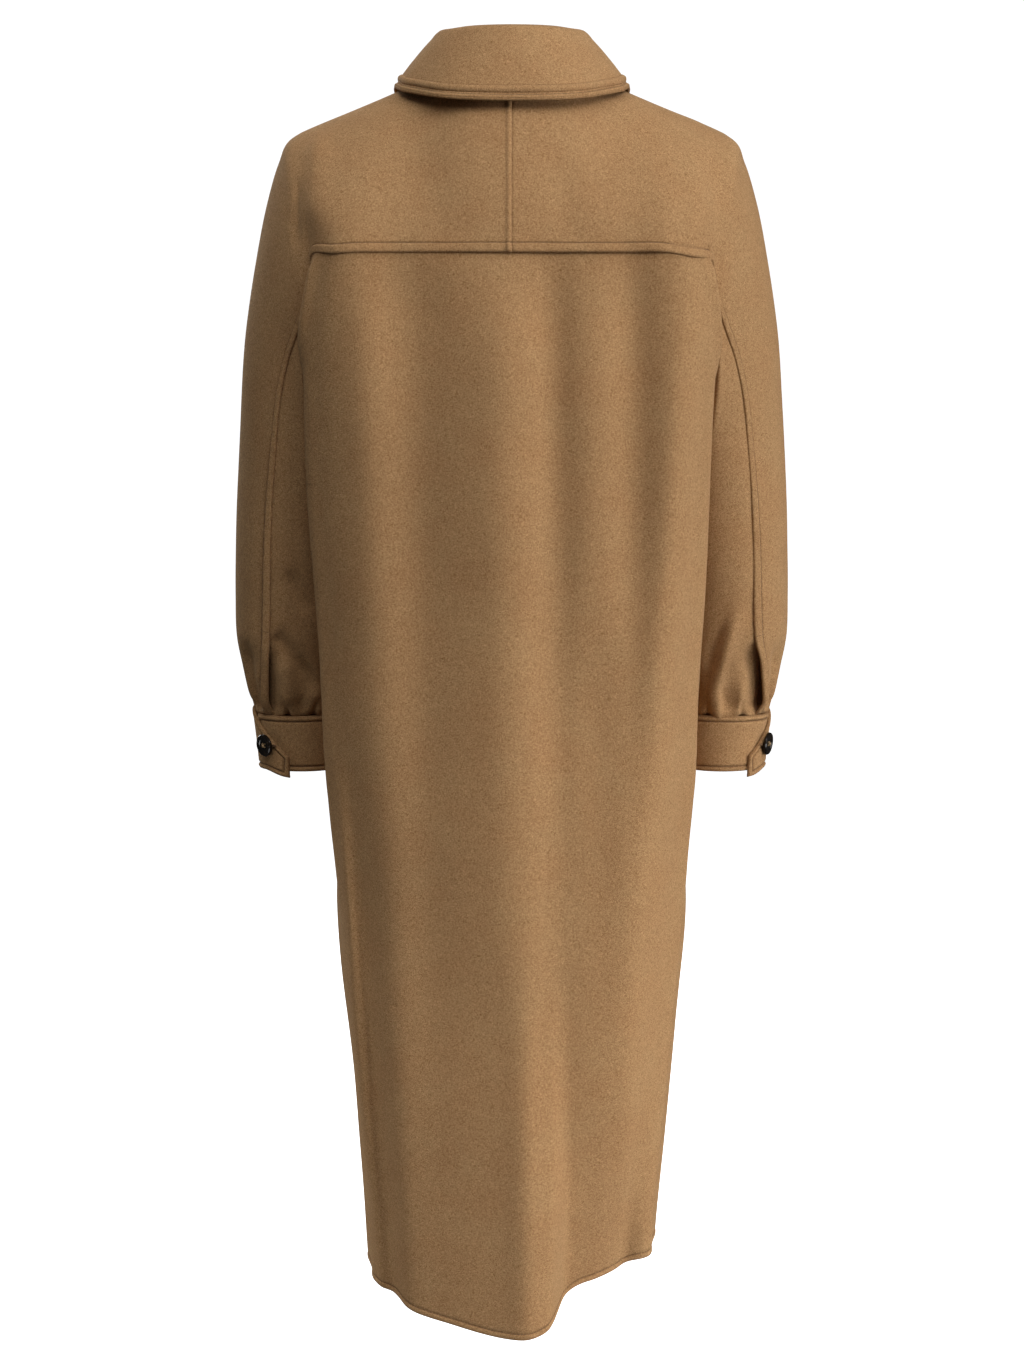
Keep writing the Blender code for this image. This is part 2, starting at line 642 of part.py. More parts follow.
def collar(finish):
    """The collar, turned over along the top of its stand and down to two points."""
    columns = []
    for turn in np.linspace(-1, 1, 25):
        sign = np.array([1.0 if turn >= 0 else -1.0, 1, 1])
        fold = half_ring(COLLAR, "fold_x fold_y fold_z", abs(turn))[0] * sign
        edge = half_ring(COLLAR, "edge_x edge_y edge_z", abs(turn))[0] * sign
        stand = half_ring(STAND_TOP, "x y z", COLLAR_REACH * abs(turn))[0] * sign
        start = stand + np.array([0, 0, 4 * SEAM_GAP])
        over = (start + fold) / 2 + np.array([0, 0, 0.0035])
        hip = fold + (edge - fold) * 0.12 + np.array([0, 0, -0.001])
        middle = (fold + edge) / 2
        middle += 0.0010 * np.array([middle[0], middle[1], 0]) / np.hypot(middle[0], middle[1])
        line = np.array([start, over, hip, middle, edge])
        lengths = np.concatenate(([0], np.cumsum(np.linalg.norm(np.diff(line, axis=0), axis=1))))
        columns.append(through(lengths, line, np.linspace(0, lengths[-1], 8)))
    return cloth("collar", [np.array(columns)], finish, flip=False)


def front_button_places():
    """Where the buttons sit on the over front, each with the direction that it faces."""
    places = []
    for step in range(FRONT_BUTTONS):
        down = FIRST_BUTTON + BUTTON_STEP * step
        if down < YOKE_FRONT:
            column = yoke_section(0.0, False, -1, np.linspace(0, 1, 41))
            point = column[np.argmin(np.abs(column[:, 2] + down))]
            above = column[np.argmin(np.abs(column[:, 2] + down - 0.01))]
        else:
            point = torso(1.0, down)[0]
            above = torso(1.0, down - 0.01)[0]
        places.append((point, above - point))
    return places


def buttons(finish):
    """The front's row of buttons, one on the stand and one on each cuff's flap."""
    lift = 0.0008
    for number, (point, upwards) in enumerate(front_button_places(), start=1):
        facing = np.cross(np.array([1.0, 0.0, 0.0]), upwards)
        facing *= -np.sign(facing[1]) / np.linalg.norm(facing)
        button(f"button_front_{number}", point + lift * facing, Vector(facing), finish)
    low = half_ring(NECK, "x y z", 1.0)[0]
    top = half_ring(STAND_TOP, "x y z", 1.0)[0]
    facing = np.cross(np.array([1.0, 0.0, 0.0]), top - low)
    facing *= -np.sign(facing[1]) / np.linalg.norm(facing)
    button("button_collar", (low + top) / 2 + lift * facing, Vector(facing), finish)
    for side, sign in (("left", 1), ("right", -1)):
        angle = 360 + CUFF_BUTTON
        line = cuff_section(angle, sign, 30)
        spot = np.argmin(np.abs(line[:, 2] + CUFF_BUTTON_DOWN))
        across = cuff_section(angle + 3, sign, 30)[spot] - cuff_section(angle - 3, sign, 30)[spot]
        facing = np.cross(across, line[spot + 1] - line[spot - 1])
        facing *= np.sign(facing[0]) * sign / np.linalg.norm(facing)
        button(f"button_cuff_{side}", line[spot] + 2 * lift * facing, Vector(facing), finish)


def main():
    for old in list(bpy.data.objects):
        bpy.data.objects.remove(old)
    wool = material("camel_wool", (0.42, 0.24, 0.11), 0.9)
    horn = material("dark_horn", (0.02, 0.015, 0.012), 0.25)
    back_body(wool)
    for side, sign in (("left", 1), ("right", -1)):
        front_body(f"front_{side}", sign, wool)
        yoke_sleeve(f"yoke_sleeve_{side}", sign, wool)
        under_sleeve(f"under_sleeve_{side}", sign, wool)
        cuff(f"cuff_{side}", sign, wool)
    collar_stand(wool)
    collar(wool)
    buttons(horn)


main()
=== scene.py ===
"""Looks of a long button-up coat of camel wool, filled out as it is worn, seen from behind.

Metres, +Z up. The front faces -Y and the wearer's left is +X. Heights in the tables are given
as "down", the distance below the middle of the neck opening, where the wearer holds the coat.
"""

import math

import bpy
import numpy as np
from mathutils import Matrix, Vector


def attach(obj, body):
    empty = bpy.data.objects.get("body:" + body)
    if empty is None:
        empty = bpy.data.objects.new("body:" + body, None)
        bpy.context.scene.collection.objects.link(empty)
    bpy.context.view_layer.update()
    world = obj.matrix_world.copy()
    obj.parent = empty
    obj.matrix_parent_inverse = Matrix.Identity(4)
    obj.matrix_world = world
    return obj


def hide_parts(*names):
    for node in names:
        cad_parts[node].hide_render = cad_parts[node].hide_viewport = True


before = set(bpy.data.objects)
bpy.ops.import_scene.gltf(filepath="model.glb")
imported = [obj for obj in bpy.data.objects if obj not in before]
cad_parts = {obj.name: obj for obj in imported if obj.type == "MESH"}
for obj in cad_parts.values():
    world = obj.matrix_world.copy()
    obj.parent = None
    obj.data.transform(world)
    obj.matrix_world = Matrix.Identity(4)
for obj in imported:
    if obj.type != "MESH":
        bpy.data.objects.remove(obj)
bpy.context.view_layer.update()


# ---------------------------------------------------------------- room, light and camera
# The coat hangs in a plain white photographer's room with a pale floor. Big soft windows stand
# at the camera's right and overhead, two small lamps lift the lower back, a window beyond the
# coat lights its front, and the white room fills the shadows.

CAMERA_PLACE = (0.0, 3.0, -0.235)
CAMERA_AIM = (0.0, 0.0, -0.5875)
CAMERA_LENS = 79.6
CAMERA_FILM = 36.0
FLOOR_DOWN = 1.48
FLOOR_SIZE = 400.0
ROOM_FILL = 0.045
ROOM_WHITE = 1.05


def added(name, data):
    """A new thing in the scene."""
    thing = bpy.data.objects.new(name, data)
    bpy.context.collection.objects.link(thing)
    return thing


def aimed(thing, aim):
    """Turns a lamp or the camera towards a point."""
    way = Vector(aim) - thing.location
    thing.rotation_euler = way.to_track_quat("-Z", "Y").to_euler()


camera = added("camera", bpy.data.cameras.new("camera"))
camera.data.lens = CAMERA_LENS
camera.data.sensor_width = CAMERA_FILM
camera.location = CAMERA_PLACE
aimed(camera, CAMERA_AIM)
bpy.context.scene.camera = camera

for name, place, aim, size, power, spread in (
    ("side_window", (-2.90, 0.90, -0.60), (0.0, 0.0, -0.60), 2.0, 43.0, 180),
    ("high_window", (-2.00, 2.20, 2.00), (0.0, 0.0, -0.20), 2.0, 70.0, 180),
    ("top_fill", (0.40, 2.60, 2.30), (0.0, 0.0, -0.20), 2.4, 38.0, 180),
    ("top_light", (0.90, 0.90, 2.60), (0.0, 0.0, -0.10), 2.0, 21.0, 180),
    ("low_spot", (-1.60, 1.40, -1.40), (-0.05, 0.05, -1.20), 0.8, 2.3, 60),
    ("low_card", (1.45, 0.25, -1.25), (0.13, 0.05, -1.15), 0.4, 0.6, 60),
    ("far_window", (1.60, -3.00, 0.60), (0.0, 0.0, -0.55), 2.6, 70.0, 180),
):
    lamp = added(name, bpy.data.lights.new(name, "AREA"))
    lamp.data.shape = "DISK"
    lamp.data.size = size
    lamp.data.energy = power
    lamp.data.spread = math.radians(spread)
    lamp.location = place
    aimed(lamp, aim)

room = bpy.data.worlds.new("room")
room.use_nodes = True
room_light = room.node_tree.nodes["Background"]
room_light.inputs["Color"].default_value = (1.0, 1.0, 1.0, 1.0)
seen = room.node_tree.nodes.new("ShaderNodeLightPath")
brightness = room.node_tree.nodes.new("ShaderNodeMapRange")
brightness.inputs["To Min"].default_value = ROOM_FILL
brightness.inputs["To Max"].default_value = ROOM_WHITE
room.node_tree.links.new(seen.outputs["Is Camera Ray"], brightness.inputs["Value"])
room.node_tree.links.new(brightness.outputs["Result"], room_light.inputs["Strength"])
bpy.context.scene.world = room
bpy.context.scene.view_settings.view_transform = "Standard"

half = FLOOR_SIZE / 2
floor_mesh = bpy.data.meshes.new("floor")
floor_corners = [(-half, -half), (half, -half), (half, half), (-half, half)]
floor_mesh.from_pydata([(x, y, -FLOOR_DOWN) for x, y in floor_corners], [], [(0, 1, 2, 3)])
floor = added("floor", floor_mesh)
floor.visible_diffuse = False
floor.visible_glossy = False
floor.visible_shadow = False
floor_paint = bpy.data.materials.new("white_floor")
floor_paint.use_nodes = True
floor_shader = floor_paint.node_tree.nodes["Principled BSDF"]
floor_shader.inputs["Base Color"].default_value = (0.9, 0.9, 0.9, 1)
floor_shader.inputs["Roughness"].default_value = 0.9
floor_shader.inputs["Emission Color"].default_value = (1, 1, 1, 1)
floor_shader.inputs["Emission Strength"].default_value = ROOM_WHITE
floor_mesh.materials.append(floor_paint)


# ---------------------------------------------------------------- back of the body
# One piece of felted camel wool from side seam to side seam, sewn under the yoke's edge. It hangs
# in soft folds, and the right half of its hem is turned forwards behind one fold.

YOKE_BACK = 0.1640
YOKE_FRONT = 0.1740
UNDERARM = 0.3850
HEM = 1.2230
CLOTH = 0.0020
BLADE, FOLD, SIDE, CHEST = 0.19, 0.36, 0.53, 0.69
FOLD_TURN = 0.042
FOLD_IN = 0.016
FOLD_BEHIND = 0.020
FOLD_UNDER = 0.3
BACK_FROM, BACK_SOFT = 0.02, 0.07
FRONT_FROM, FRONT_SOFT = 0.05, 0.05


def table(names, *rows):
    """A table with named columns: each name gives the array of its column."""
    return dict(zip(names.split(), np.array(rows, dtype=float).T))


TORSO = table(
    "down back_y blade_x blade_y fold_x fold_y side_x side_y chest_x chest_y front_y right_fold",
    (0.164, 0.118, 0.108, 0.113, 0.191, 0.084, 0.182, -0.006, 0.170, -0.093, -0.118, 0.000),
    (0.250, 0.124, 0.112, 0.118, 0.201, 0.075, 0.166, -0.016, 0.163, -0.099, -0.128, -0.004),
    (0.385, 0.128, 0.116, 0.120, 0.200, 0.067, 0.152, -0.022, 0.154, -0.104, -0.135, -0.008),
    (0.500, 0.129, 0.116, 0.119, 0.192, 0.062, 0.149, -0.020, 0.148, -0.105, -0.137, -0.004),
    (0.600, 0.129, 0.115, 0.118, 0.187, 0.058, 0.151, -0.014, 0.143, -0.102, -0.137, -0.004),
    (0.690, 0.129, 0.113, 0.117, 0.183, 0.052, 0.161, -0.010, 0.140, -0.098, -0.135, -0.002),
    (0.810, 0.128, 0.110, 0.115, 0.1695, 0.050, 0.1735, -0.010, 0.138, -0.094, -0.131, -0.001),
    (0.940, 0.126, 0.106, 0.112, 0.1575, 0.050, 0.1645, -0.012, 0.132, -0.091, -0.127, 0.000),
    (1.060, 0.124, 0.102, 0.108, 0.1495, 0.048, 0.1565, -0.014, 0.125, -0.088, -0.122, 0.000),
    (1.223, 0.121, 0.097, 0.102, 0.140, 0.042, 0.1465, -0.016, 0.116, -0.084, -0.116, 0.000),
)
BACK_FOLDS = table(
    "x_start x_end start full gone depth spread",
    (0.177, 0.133, 0.600, 0.840, 2.600, 0.0250, 0.009),
    (0.142, 0.118, 0.150, 0.240, 0.800, 0.0050, 0.024),
    (0.096, 0.080, 0.120, 0.230, 1.900, -0.0118, 0.032),
    (0.014, -0.006, 0.130, 0.280, 2.400, 0.0105, 0.034),
    (-0.037, -0.054, 0.130, 0.240, 1.200, -0.0095, 0.021),
    (-0.078, -0.086, 0.420, 0.600, 1.000, -0.0055, 0.022),
    (-0.114, -0.117, 0.120, 0.240, 0.800, -0.0090, 0.021),
    (-0.172, -0.118, 0.140, 0.330, 1.300, 0.0195, 0.030),
    (-0.012, -0.016, 0.750, 1.050, 2.400, 0.0065, 0.018),
)
FRONT_FOLDS = table(
    "x_start x_end start full gone depth spread",
    (0.108, 0.096, 0.180, 0.340, 1.100, 0.0050, 0.024),
    (0.066, 0.058, 0.180, 0.340, 1.000, -0.0040, 0.020),
    (-0.062, -0.070, 0.200, 0.420, 1.150, -0.0045, 0.022),
    (-0.112, -0.098, 0.180, 0.360, 1.400, 0.0055, 0.026),
)
HEM_RECESS = table(
    "down depth",
    (0.850, 0.000),
    (1.000, 0.008),
    (1.100, 0.022),
    (1.223, 0.044),
)
RECESS_EDGE = 0.036
RECESS_SOFT = 0.020
RECESS_FADE = 0.100
RECESS_OUT = 0.050
HEM_RISE = table(
    "place rise",
    (-1.000, 0.004),
    (-0.850, 0.012),
    (-0.690, 0.042),
    (-0.530, 0.066),
    (-0.450, 0.064),
    (-0.270, 0.051),
    (-0.160, 0.041),
    (-0.105, 0.031),
    (-0.075, 0.012),
    (-0.055, 0.004),
    (0.000, 0.000),
    (0.125, 0.012),
    (0.220, 0.021),
    (0.360, 0.034),
    (0.530, 0.042),
    (0.690, 0.028),
    (0.850, 0.010),
    (1.000, 0.004),
)
HEM_RISE_FROM = 0.900
HEM_RISE_BEND = 1.5
RUMPLE_SIZE = 0.16
RUMPLE_WAVES = 14
RUMPLE_MIX = (0.6, 1.8)
TUCK = 0.008


def hermite(keys, values, slopes, at):
    """Cubic pieces through the values at the keys, with the given slopes there."""
    at = np.clip(np.atleast_1d(np.asarray(at, dtype=float)), keys[0], keys[-1])
    left = np.clip(np.searchsorted(keys, at, side="right") - 1, 0, len(keys) - 2)
    step = keys[left + 1] - keys[left]
    t = (at - keys[left]) / step
    shape = (-1,) + (1,) * (values.ndim - 1)
    t, step = t.reshape(shape), step.reshape(shape)
    return (
        (1 + 2 * t) * (1 - t) ** 2 * values[left]
        + t * (1 - t) ** 2 * step * slopes[left]
        + t**2 * (3 - 2 * t) * values[left + 1]
        + t**2 * (t - 1) * step * slopes[left + 1]
    )


def column_at(keys, values, at):
    """A column of a table between its rows, with no overshoot."""
    rate = np.diff(values) / np.diff(keys)
    slopes = np.concatenate(([rate[0]], 0.5 * (rate[:-1] + rate[1:]), [rate[-1]]))
    same_way = np.concatenate(([1.0], rate[:-1] * rate[1:], [1.0])) > 0
    least = np.minimum(np.abs(np.append(rate, rate[-1])), np.abs(np.insert(rate, 0, rate[0])))
    slopes = np.sign(slopes) * np.minimum(np.abs(slopes), 3 * least) * same_way
    return hermite(keys, values, slopes, at)


def through(keys, points, at):
    """A smooth curve through points."""
    return hermite(keys, points, np.gradient(points, keys, axis=0), at)


def ease(x):
    """0 below 0, 1 above 1 and soft in between."""
    x = np.clip(x, 0.0, 1.0)
    return x * x * (3 - 2 * x)


def hump(away, width):
    """1 where away is 0, falling softly to 0 on both sides."""
    return np.exp(-((away / width) ** 2))


def fold_relief(folds, x, down):
    """How far the hanging folds push the cloth out at x."""
    relief = np.zeros_like(x)
    for start_x, end_x, start, full, gone, depth, spread in zip(*folds.values()):
        middle = start_x + (end_x - start_x) * np.clip((down - start) / (HEM - start), 0, 1)
        size = depth * ease((down - start) / (full - start)) * ease((gone - down) / (gone - full))
        relief += size * hump(x - middle, spread)
    return relief


def torso(place, down):
    """Points of the body's ring at one level: place 0 is the centre back, 1 the centre front."""
    place = (np.atleast_1d(np.asarray(place, dtype=float)) + 1) % 2 - 1
    row = {name: column_at(TORSO["down"], TORSO[name], down)[0] for name in TORSO}
    side = np.where(place < 0, -1.0, 1.0)
    keys = [-BLADE, 0.0, BLADE, FOLD - FOLD_TURN, FOLD, FOLD + FOLD_TURN, SIDE, CHEST, 1.0]
    keys = np.array(keys + [2 - CHEST])
    points = np.zeros((len(place), 3))
    for sign in (1.0, -1.0):
        fold_x = row["fold_x"] + (row["right_fold"] if sign < 0 else 0.0)
        under_x = fold_x + FOLD_UNDER * (row["side_x"] - fold_x)
        under_y = row["fold_y"] + FOLD_UNDER * (row["side_y"] - row["fold_y"])
        ring = np.array(
            [
                (-row["blade_x"], row["blade_y"]),
                (0.0, row["back_y"]),
                (row["blade_x"], row["blade_y"]),
                (fold_x - FOLD_IN, row["fold_y"] + FOLD_BEHIND),
                (fold_x, row["fold_y"]),
                (under_x, under_y),
                (row["side_x"], row["side_y"]),
                (row["chest_x"], row["chest_y"]),
                (0.0, row["front_y"]),
                (-row["chest_x"], row["chest_y"]),
            ]
        )
        here = side == sign
        points[here, :2] = through(keys, ring, np.abs(place[here]))
        points[here, 0] *= sign
    x, y = points[:, 0], points[:, 1]
    at_back = ease((y - BACK_FROM) / BACK_SOFT)
    at_front = ease((-y - FRONT_FROM) / FRONT_SOFT)
    recess = column_at(HEM_RECESS["down"], HEM_RECESS["depth"], down)[0]
    recess = recess * ease((-x - RECESS_EDGE) / RECESS_SOFT)
    recess = recess * (1 - ease((-x - RECESS_FADE) / RECESS_OUT))
    points[:, 1] += at_back * fold_relief(BACK_FOLDS, x, down)
    points[:, 1] -= at_back * recess
    points[:, 1] -= at_front * fold_relief(FRONT_FOLDS, x, down)
    rise = column_at(HEM_RISE["place"], HEM_RISE["rise"], place)
    low = ease((down - HEM_RISE_FROM) / (HEM - HEM_RISE_FROM))
    points[:, 2] = -down + rise * low**HEM_RISE_BEND
    return points


def outward(grid, flip):
    """Unit directions out of a sheet, given as rows of points."""
    out = np.cross(np.gradient(grid, axis=1), np.gradient(grid, axis=0))
    out /= np.linalg.norm(out, axis=2)[:, :, None] + 1e-12
    return -out if flip else out


def raised(grid, relief, flip):
    """The sheet moved out by its relief."""
    return grid + outward(grid, flip) * relief[:, :, None]


def lengths(line):
    """How far along a line of points each one is."""
    return np.concatenate(([0.0], np.cumsum(np.linalg.norm(np.diff(line, axis=0), axis=1))))


def spaced(line, near_start, near_end, count):
    """The line with points at given distances from its ends, and evenly between those."""
    far = lengths(line)
    last = far[-1] - near_end[-1]
    middle = np.linspace(near_start[-1], last, count + 2)[1:-1]
    at = np.concatenate((near_start, middle, far[-1] - np.asarray(near_end)[::-1]))
    return np.stack([np.interp(at, far, line[:, axis]) for axis in range(3)], axis=1)


def from_rim(grid, *rims):
    """How far each point of a sheet lies from the nearest of the named rims, along the cloth."""
    far = []
    for rim in rims:
        axis = 0 if rim in ("first", "last") else 1
        turned = np.flip(grid, axis) if rim in ("last", "right") else grid
        run = np.cumsum(np.linalg.norm(np.diff(turned, axis=axis), axis=2), axis=axis)
        run = np.insert(run, 0, 0.0, axis=axis)
        far.append(np.flip(run, axis) if rim in ("last", "right") else run)
    return np.minimum.reduce(far)


def row_at(steps, inside):
    """Which row of points lies nearest to a distance from the edge."""
    return int(np.argmin(np.abs(steps - inside)))


def tucked(grid, rim, sink, flip):
    """Carries a sheet on beyond a rim, below the piece that laps over it there."""
    out = outward(grid, flip)
    turned = rim in ("left", "right")
    if turned:
        grid, out = grid.transpose(1, 0, 2), out.transpose(1, 0, 2)
    end, inside = (0, 2) if rim in ("first", "left") else (-1, -3)
    way = grid[end] - grid[inside]
    way /= np.linalg.norm(way, axis=1)[:, None]
    near, far = [grid[end] + way * TUCK * part - out[end] * sink * part for part in (0.4, 1.0)]
    grid = np.concatenate(([far, near], grid) if end == 0 else (grid, [near, far]))
    return grid.transpose(1, 0, 2) if turned else grid


def rumples(grid, height, seed, size=RUMPLE_SIZE):
    """Soft uneven swellings of the cloth, some sizes mixed."""
    draw = np.random.default_rng(seed)
    relief = np.zeros(grid.shape[:2])
    for _ in range(RUMPLE_WAVES):
        way = draw.normal(size=3)
        way /= np.linalg.norm(way) * size * draw.uniform(*RUMPLE_MIX)
        relief += np.sin(2 * math.pi * (grid @ way) + draw.uniform(0, 2 * math.pi))
    return relief * height / math.sqrt(RUMPLE_WAVES / 2)


def near_path(grid, path):
    """The distance of each point from a path of (x, down) corners, and how far along it."""
    flat = np.stack((grid[:, :, 0], -grid[:, :, 2]), axis=2)
    path = np.asarray(path, dtype=float)
    far = lengths(path)
    nearest = np.full(flat.shape[:2], 9.0)
    along = np.zeros(flat.shape[:2])
    for start, end, before, after in zip(path[:-1], path[1:], far[:-1], far[1:]):
        way = (end - start) / (after - before)
        t = np.clip((flat - start) @ way, 0, after - before)
        away = np.linalg.norm(flat - start - t[:, :, None] * way, axis=2)
        closer = away < nearest
        nearest = np.where(closer, away, nearest)
        along = np.where(closer, before + t, along)
    return nearest, along / far[-1]


def creases(grid, rows, where=1.0):
    """Soft troughs (negative depths) and ridges along paths, fading out at their ends."""
    relief = np.zeros(grid.shape[:2])
    for depth, spread, fade_in, fade_out, path in rows:
        away, along = near_path(grid, path)
        size = ease(along / max(fade_in, 1e-6)) * ease((1 - along) / max(fade_out, 1e-6))
        relief += depth * size * hump(away, spread)
    return relief * where


def finish(name, roughness, specular=0.5):
    """A new material and its shader, with its gloss."""
    made = bpy.data.materials.new(name)
    made.use_nodes = True
    shader = made.node_tree.nodes["Principled BSDF"]
    shader.inputs["Roughness"].default_value = roughness
    shader.inputs["Specular IOR Level"].default_value = specular
    return made, shader


def clouded(made, scale, detail=2.0, rough=0.5, twist=0.0):
    """An uneven pattern that lies fixed on its piece."""
    where = made.node_tree.nodes.new("ShaderNodeTexCoord")
    pattern = made.node_tree.nodes.new("ShaderNodeTexNoise")
    pattern.inputs["Scale"].default_value = scale
    pattern.inputs["Detail"].default_value = detail
    pattern.inputs["Roughness"].default_value = rough
    pattern.inputs["Distortion"].default_value = twist
    made.node_tree.links.new(where.outputs["Object"], pattern.inputs["Vector"])
    return pattern.outputs["Fac"]


def toned(made, source, low, low_colour, high, high_colour):
    """The colours that a pattern gives at its low and at its high values."""
    tones = made.node_tree.nodes.new("ShaderNodeValToRGB")
    tones.color_ramp.elements[0].position = low
    tones.color_ramp.elements[0].color = (*low_colour, 1)
    tones.color_ramp.elements[1].position = high
    tones.color_ramp.elements[1].color = (*high_colour, 1)
    made.node_tree.links.new(source, tones.inputs["Fac"])
    return tones.outputs["Color"]


def wool(name):
    """Felted camel wool: short curled fibres over mottled yarns, with a soft nap, and painted shade along
    seams, stitches and edges.
    """
    made, shader = finish(name, 0.95, 0.12)
    shader.inputs["Sheen Weight"].default_value = 0.16
    shader.inputs["Sheen Roughness"].default_value = 0.55
    shader.inputs["Sheen Tint"].default_value = (0.95, 0.74, 0.46, 1.0)
    nodes, links = made.node_tree.nodes, made.node_tree.links
    curls = clouded(made, 700.0, 5.0, 0.66, 1.6)
    fibres = clouded(made, 1500.0, 2.0, 0.5, 0.8)
    clouds = clouded(made, 26.0, 5.0, 0.6, 0.0)
    painted_shade = nodes.new("ShaderNodeAttribute")
    painted_shade.attribute_name = "painted_shade"
    white = (1.0, 1.0, 1.0)
    colour = toned(made, curls, 0.36, (0.270, 0.140, 0.057), 0.64, (0.650, 0.398, 0.196))
    for layer in (
        toned(made, fibres, 0.30, (0.80, 0.78, 0.76), 0.70, white),
        toned(made, clouds, 0.34, (0.95, 0.90, 0.86), 0.68, (1.0, 1.0, 0.98)),
        # painted shade: darker where a sheet's seams, stitch grooves and lapped edges would be in shadow
        toned(made, painted_shade.outputs["Fac"], 0.0, white, 1.0, (0.20, 0.17, 0.15)),
    ):
        laid = nodes.new("ShaderNodeMix")
        laid.data_type = "RGBA"
        laid.blend_type = "MULTIPLY"
        laid.inputs["Factor"].default_value = 1.0
        links.new(colour, laid.inputs["A"])
        links.new(layer, laid.inputs["B"])
        colour = laid.outputs["Result"]
    links.new(colour, shader.inputs["Base Color"])
    nap = nodes.new("ShaderNodeBump")
    nap.inputs["Strength"].default_value = 0.75
    nap.inputs["Distance"].default_value = 0.0009
    links.new(curls, nap.inputs["Height"])
    links.new(nap.outputs["Normal"], shader.inputs["Normal"])
    return made


def smooth_mesh(name, points, faces, paint):
    """A smooth surface of one finish."""
    mesh = bpy.data.meshes.new(name)
    mesh.from_pydata([tuple(point) for point in points], [], faces)
    mesh.materials.append(paint)
    mesh.shade_smooth()
    return mesh


RIM_ROUND = 0.45


def sheet_mesh(name, grids, flips, thick, painted_shade=None):
    """Wool over one or more grids, welded where they meet, as a wall with rounded edges.

    Along stitch grooves, seams and lapped edges its colour is darkened as painted shade, given per point.
    """
    points, quads, base = [], [], 0
    for grid, flip in zip(grids, flips):
        rows, columns = grid.shape[:2]
        index = base + np.arange(rows * columns).reshape(rows, columns)
        quad = np.stack((index[:-1, :-1], index[:-1, 1:], index[1:, 1:], index[1:, :-1]), axis=2)
        quad = quad.reshape(-1, 4)
        quads.append(quad[:, ::-1] if flip else quad)
        points.append(grid.reshape(-1, 3))
        base += rows * columns
    points, quads = np.concatenate(points), np.concatenate(quads)
    _, first, merged = np.unique(
        np.round(points, 5), axis=0, return_index=True, return_inverse=True
    )
    points, quads = points[first], merged.reshape(-1)[quads]
    flat = np.zeros(len(points))
    if painted_shade is not None:
        flat = np.clip(np.concatenate([part.reshape(-1) for part in painted_shade])[first], 0, 1)
    one_way = points[quads[:, 2]] - points[quads[:, 0]]
    face_out = np.cross(one_way, points[quads[:, 3]] - points[quads[:, 1]])
    out = np.zeros_like(points)
    for corner in range(4):
        np.add.at(out, quads[:, corner], face_out)
    out /= np.linalg.norm(out, axis=1)[:, None] + 1e-15
    count = len(points)
    edges = np.concatenate([quads[:, [corner, (corner + 1) % 4]] for corner in range(4)])
    there = set(map(tuple, edges.tolist()))
    rim = np.array([edge for edge in edges.tolist() if (edge[1], edge[0]) not in there])
    aside = np.zeros_like(points)
    side = np.cross(points[rim[:, 1]] - points[rim[:, 0]], out[rim[:, 0]])
    np.add.at(aside, rim[:, 0], side)
    np.add.at(aside, rim[:, 1], side)
    edge_points = np.unique(rim)
    aside = aside[edge_points]
    aside /= np.linalg.norm(aside, axis=1)[:, None] + 1e-15
    middle = points[edge_points] - out[edge_points] * thick / 2 + aside * thick * RIM_ROUND
    at_middle = np.full(count, -1)
    at_middle[edge_points] = 2 * count + np.arange(len(edge_points))
    start, end = rim[:, 0], rim[:, 1]
    faces = np.concatenate(
        (
            quads,
            quads[:, ::-1] + count,
            np.stack((end, start, at_middle[start], at_middle[end]), axis=1),
            np.stack((at_middle[end], at_middle[start], start + count, end + count), axis=1),
        )
    )
    points = np.concatenate((points, points - out * thick, middle))
    mesh = smooth_mesh(name, points.tolist(), faces.tolist(), camel)
    # painted shade per point, which darkens the wool's colour
    painted_shade_layer = mesh.attributes.new("painted_shade", "FLOAT", "POINT")
    painted_shade_layer.data.foreach_set("value", np.concatenate((flat, 0 * flat, 0 * flat[edge_points])))
    return added(name, mesh)


def carried(values):
    """The values of a sheet, carried on over the part tucked under the yoke."""
    return np.concatenate((values[:1], values[:1], values))


def thread(name, dark_thread_and_painted_shade, light):
    """Matt sewing thread with a fine twist."""
    made, shader = finish(name, 0.7)
    colour = toned(made, clouded(made, 900.0), 0.0, dark_thread_and_painted_shade, 1.0, light)
    made.node_tree.links.new(colour, shader.inputs["Base Color"])
    return made


STITCH_LONG = 0.0027
STITCH_PITCH = 0.0034
STITCH_START = 0.4
STITCH_AT = np.array([0.0, 0.2, 0.8, 1.0])
STITCH_LIFT = np.array([-0.6, 0.7, 0.7, -0.6])
STITCH_WIDE = np.array([0.5, 1.0, 1.0, 0.5])
THREAD = 0.00032


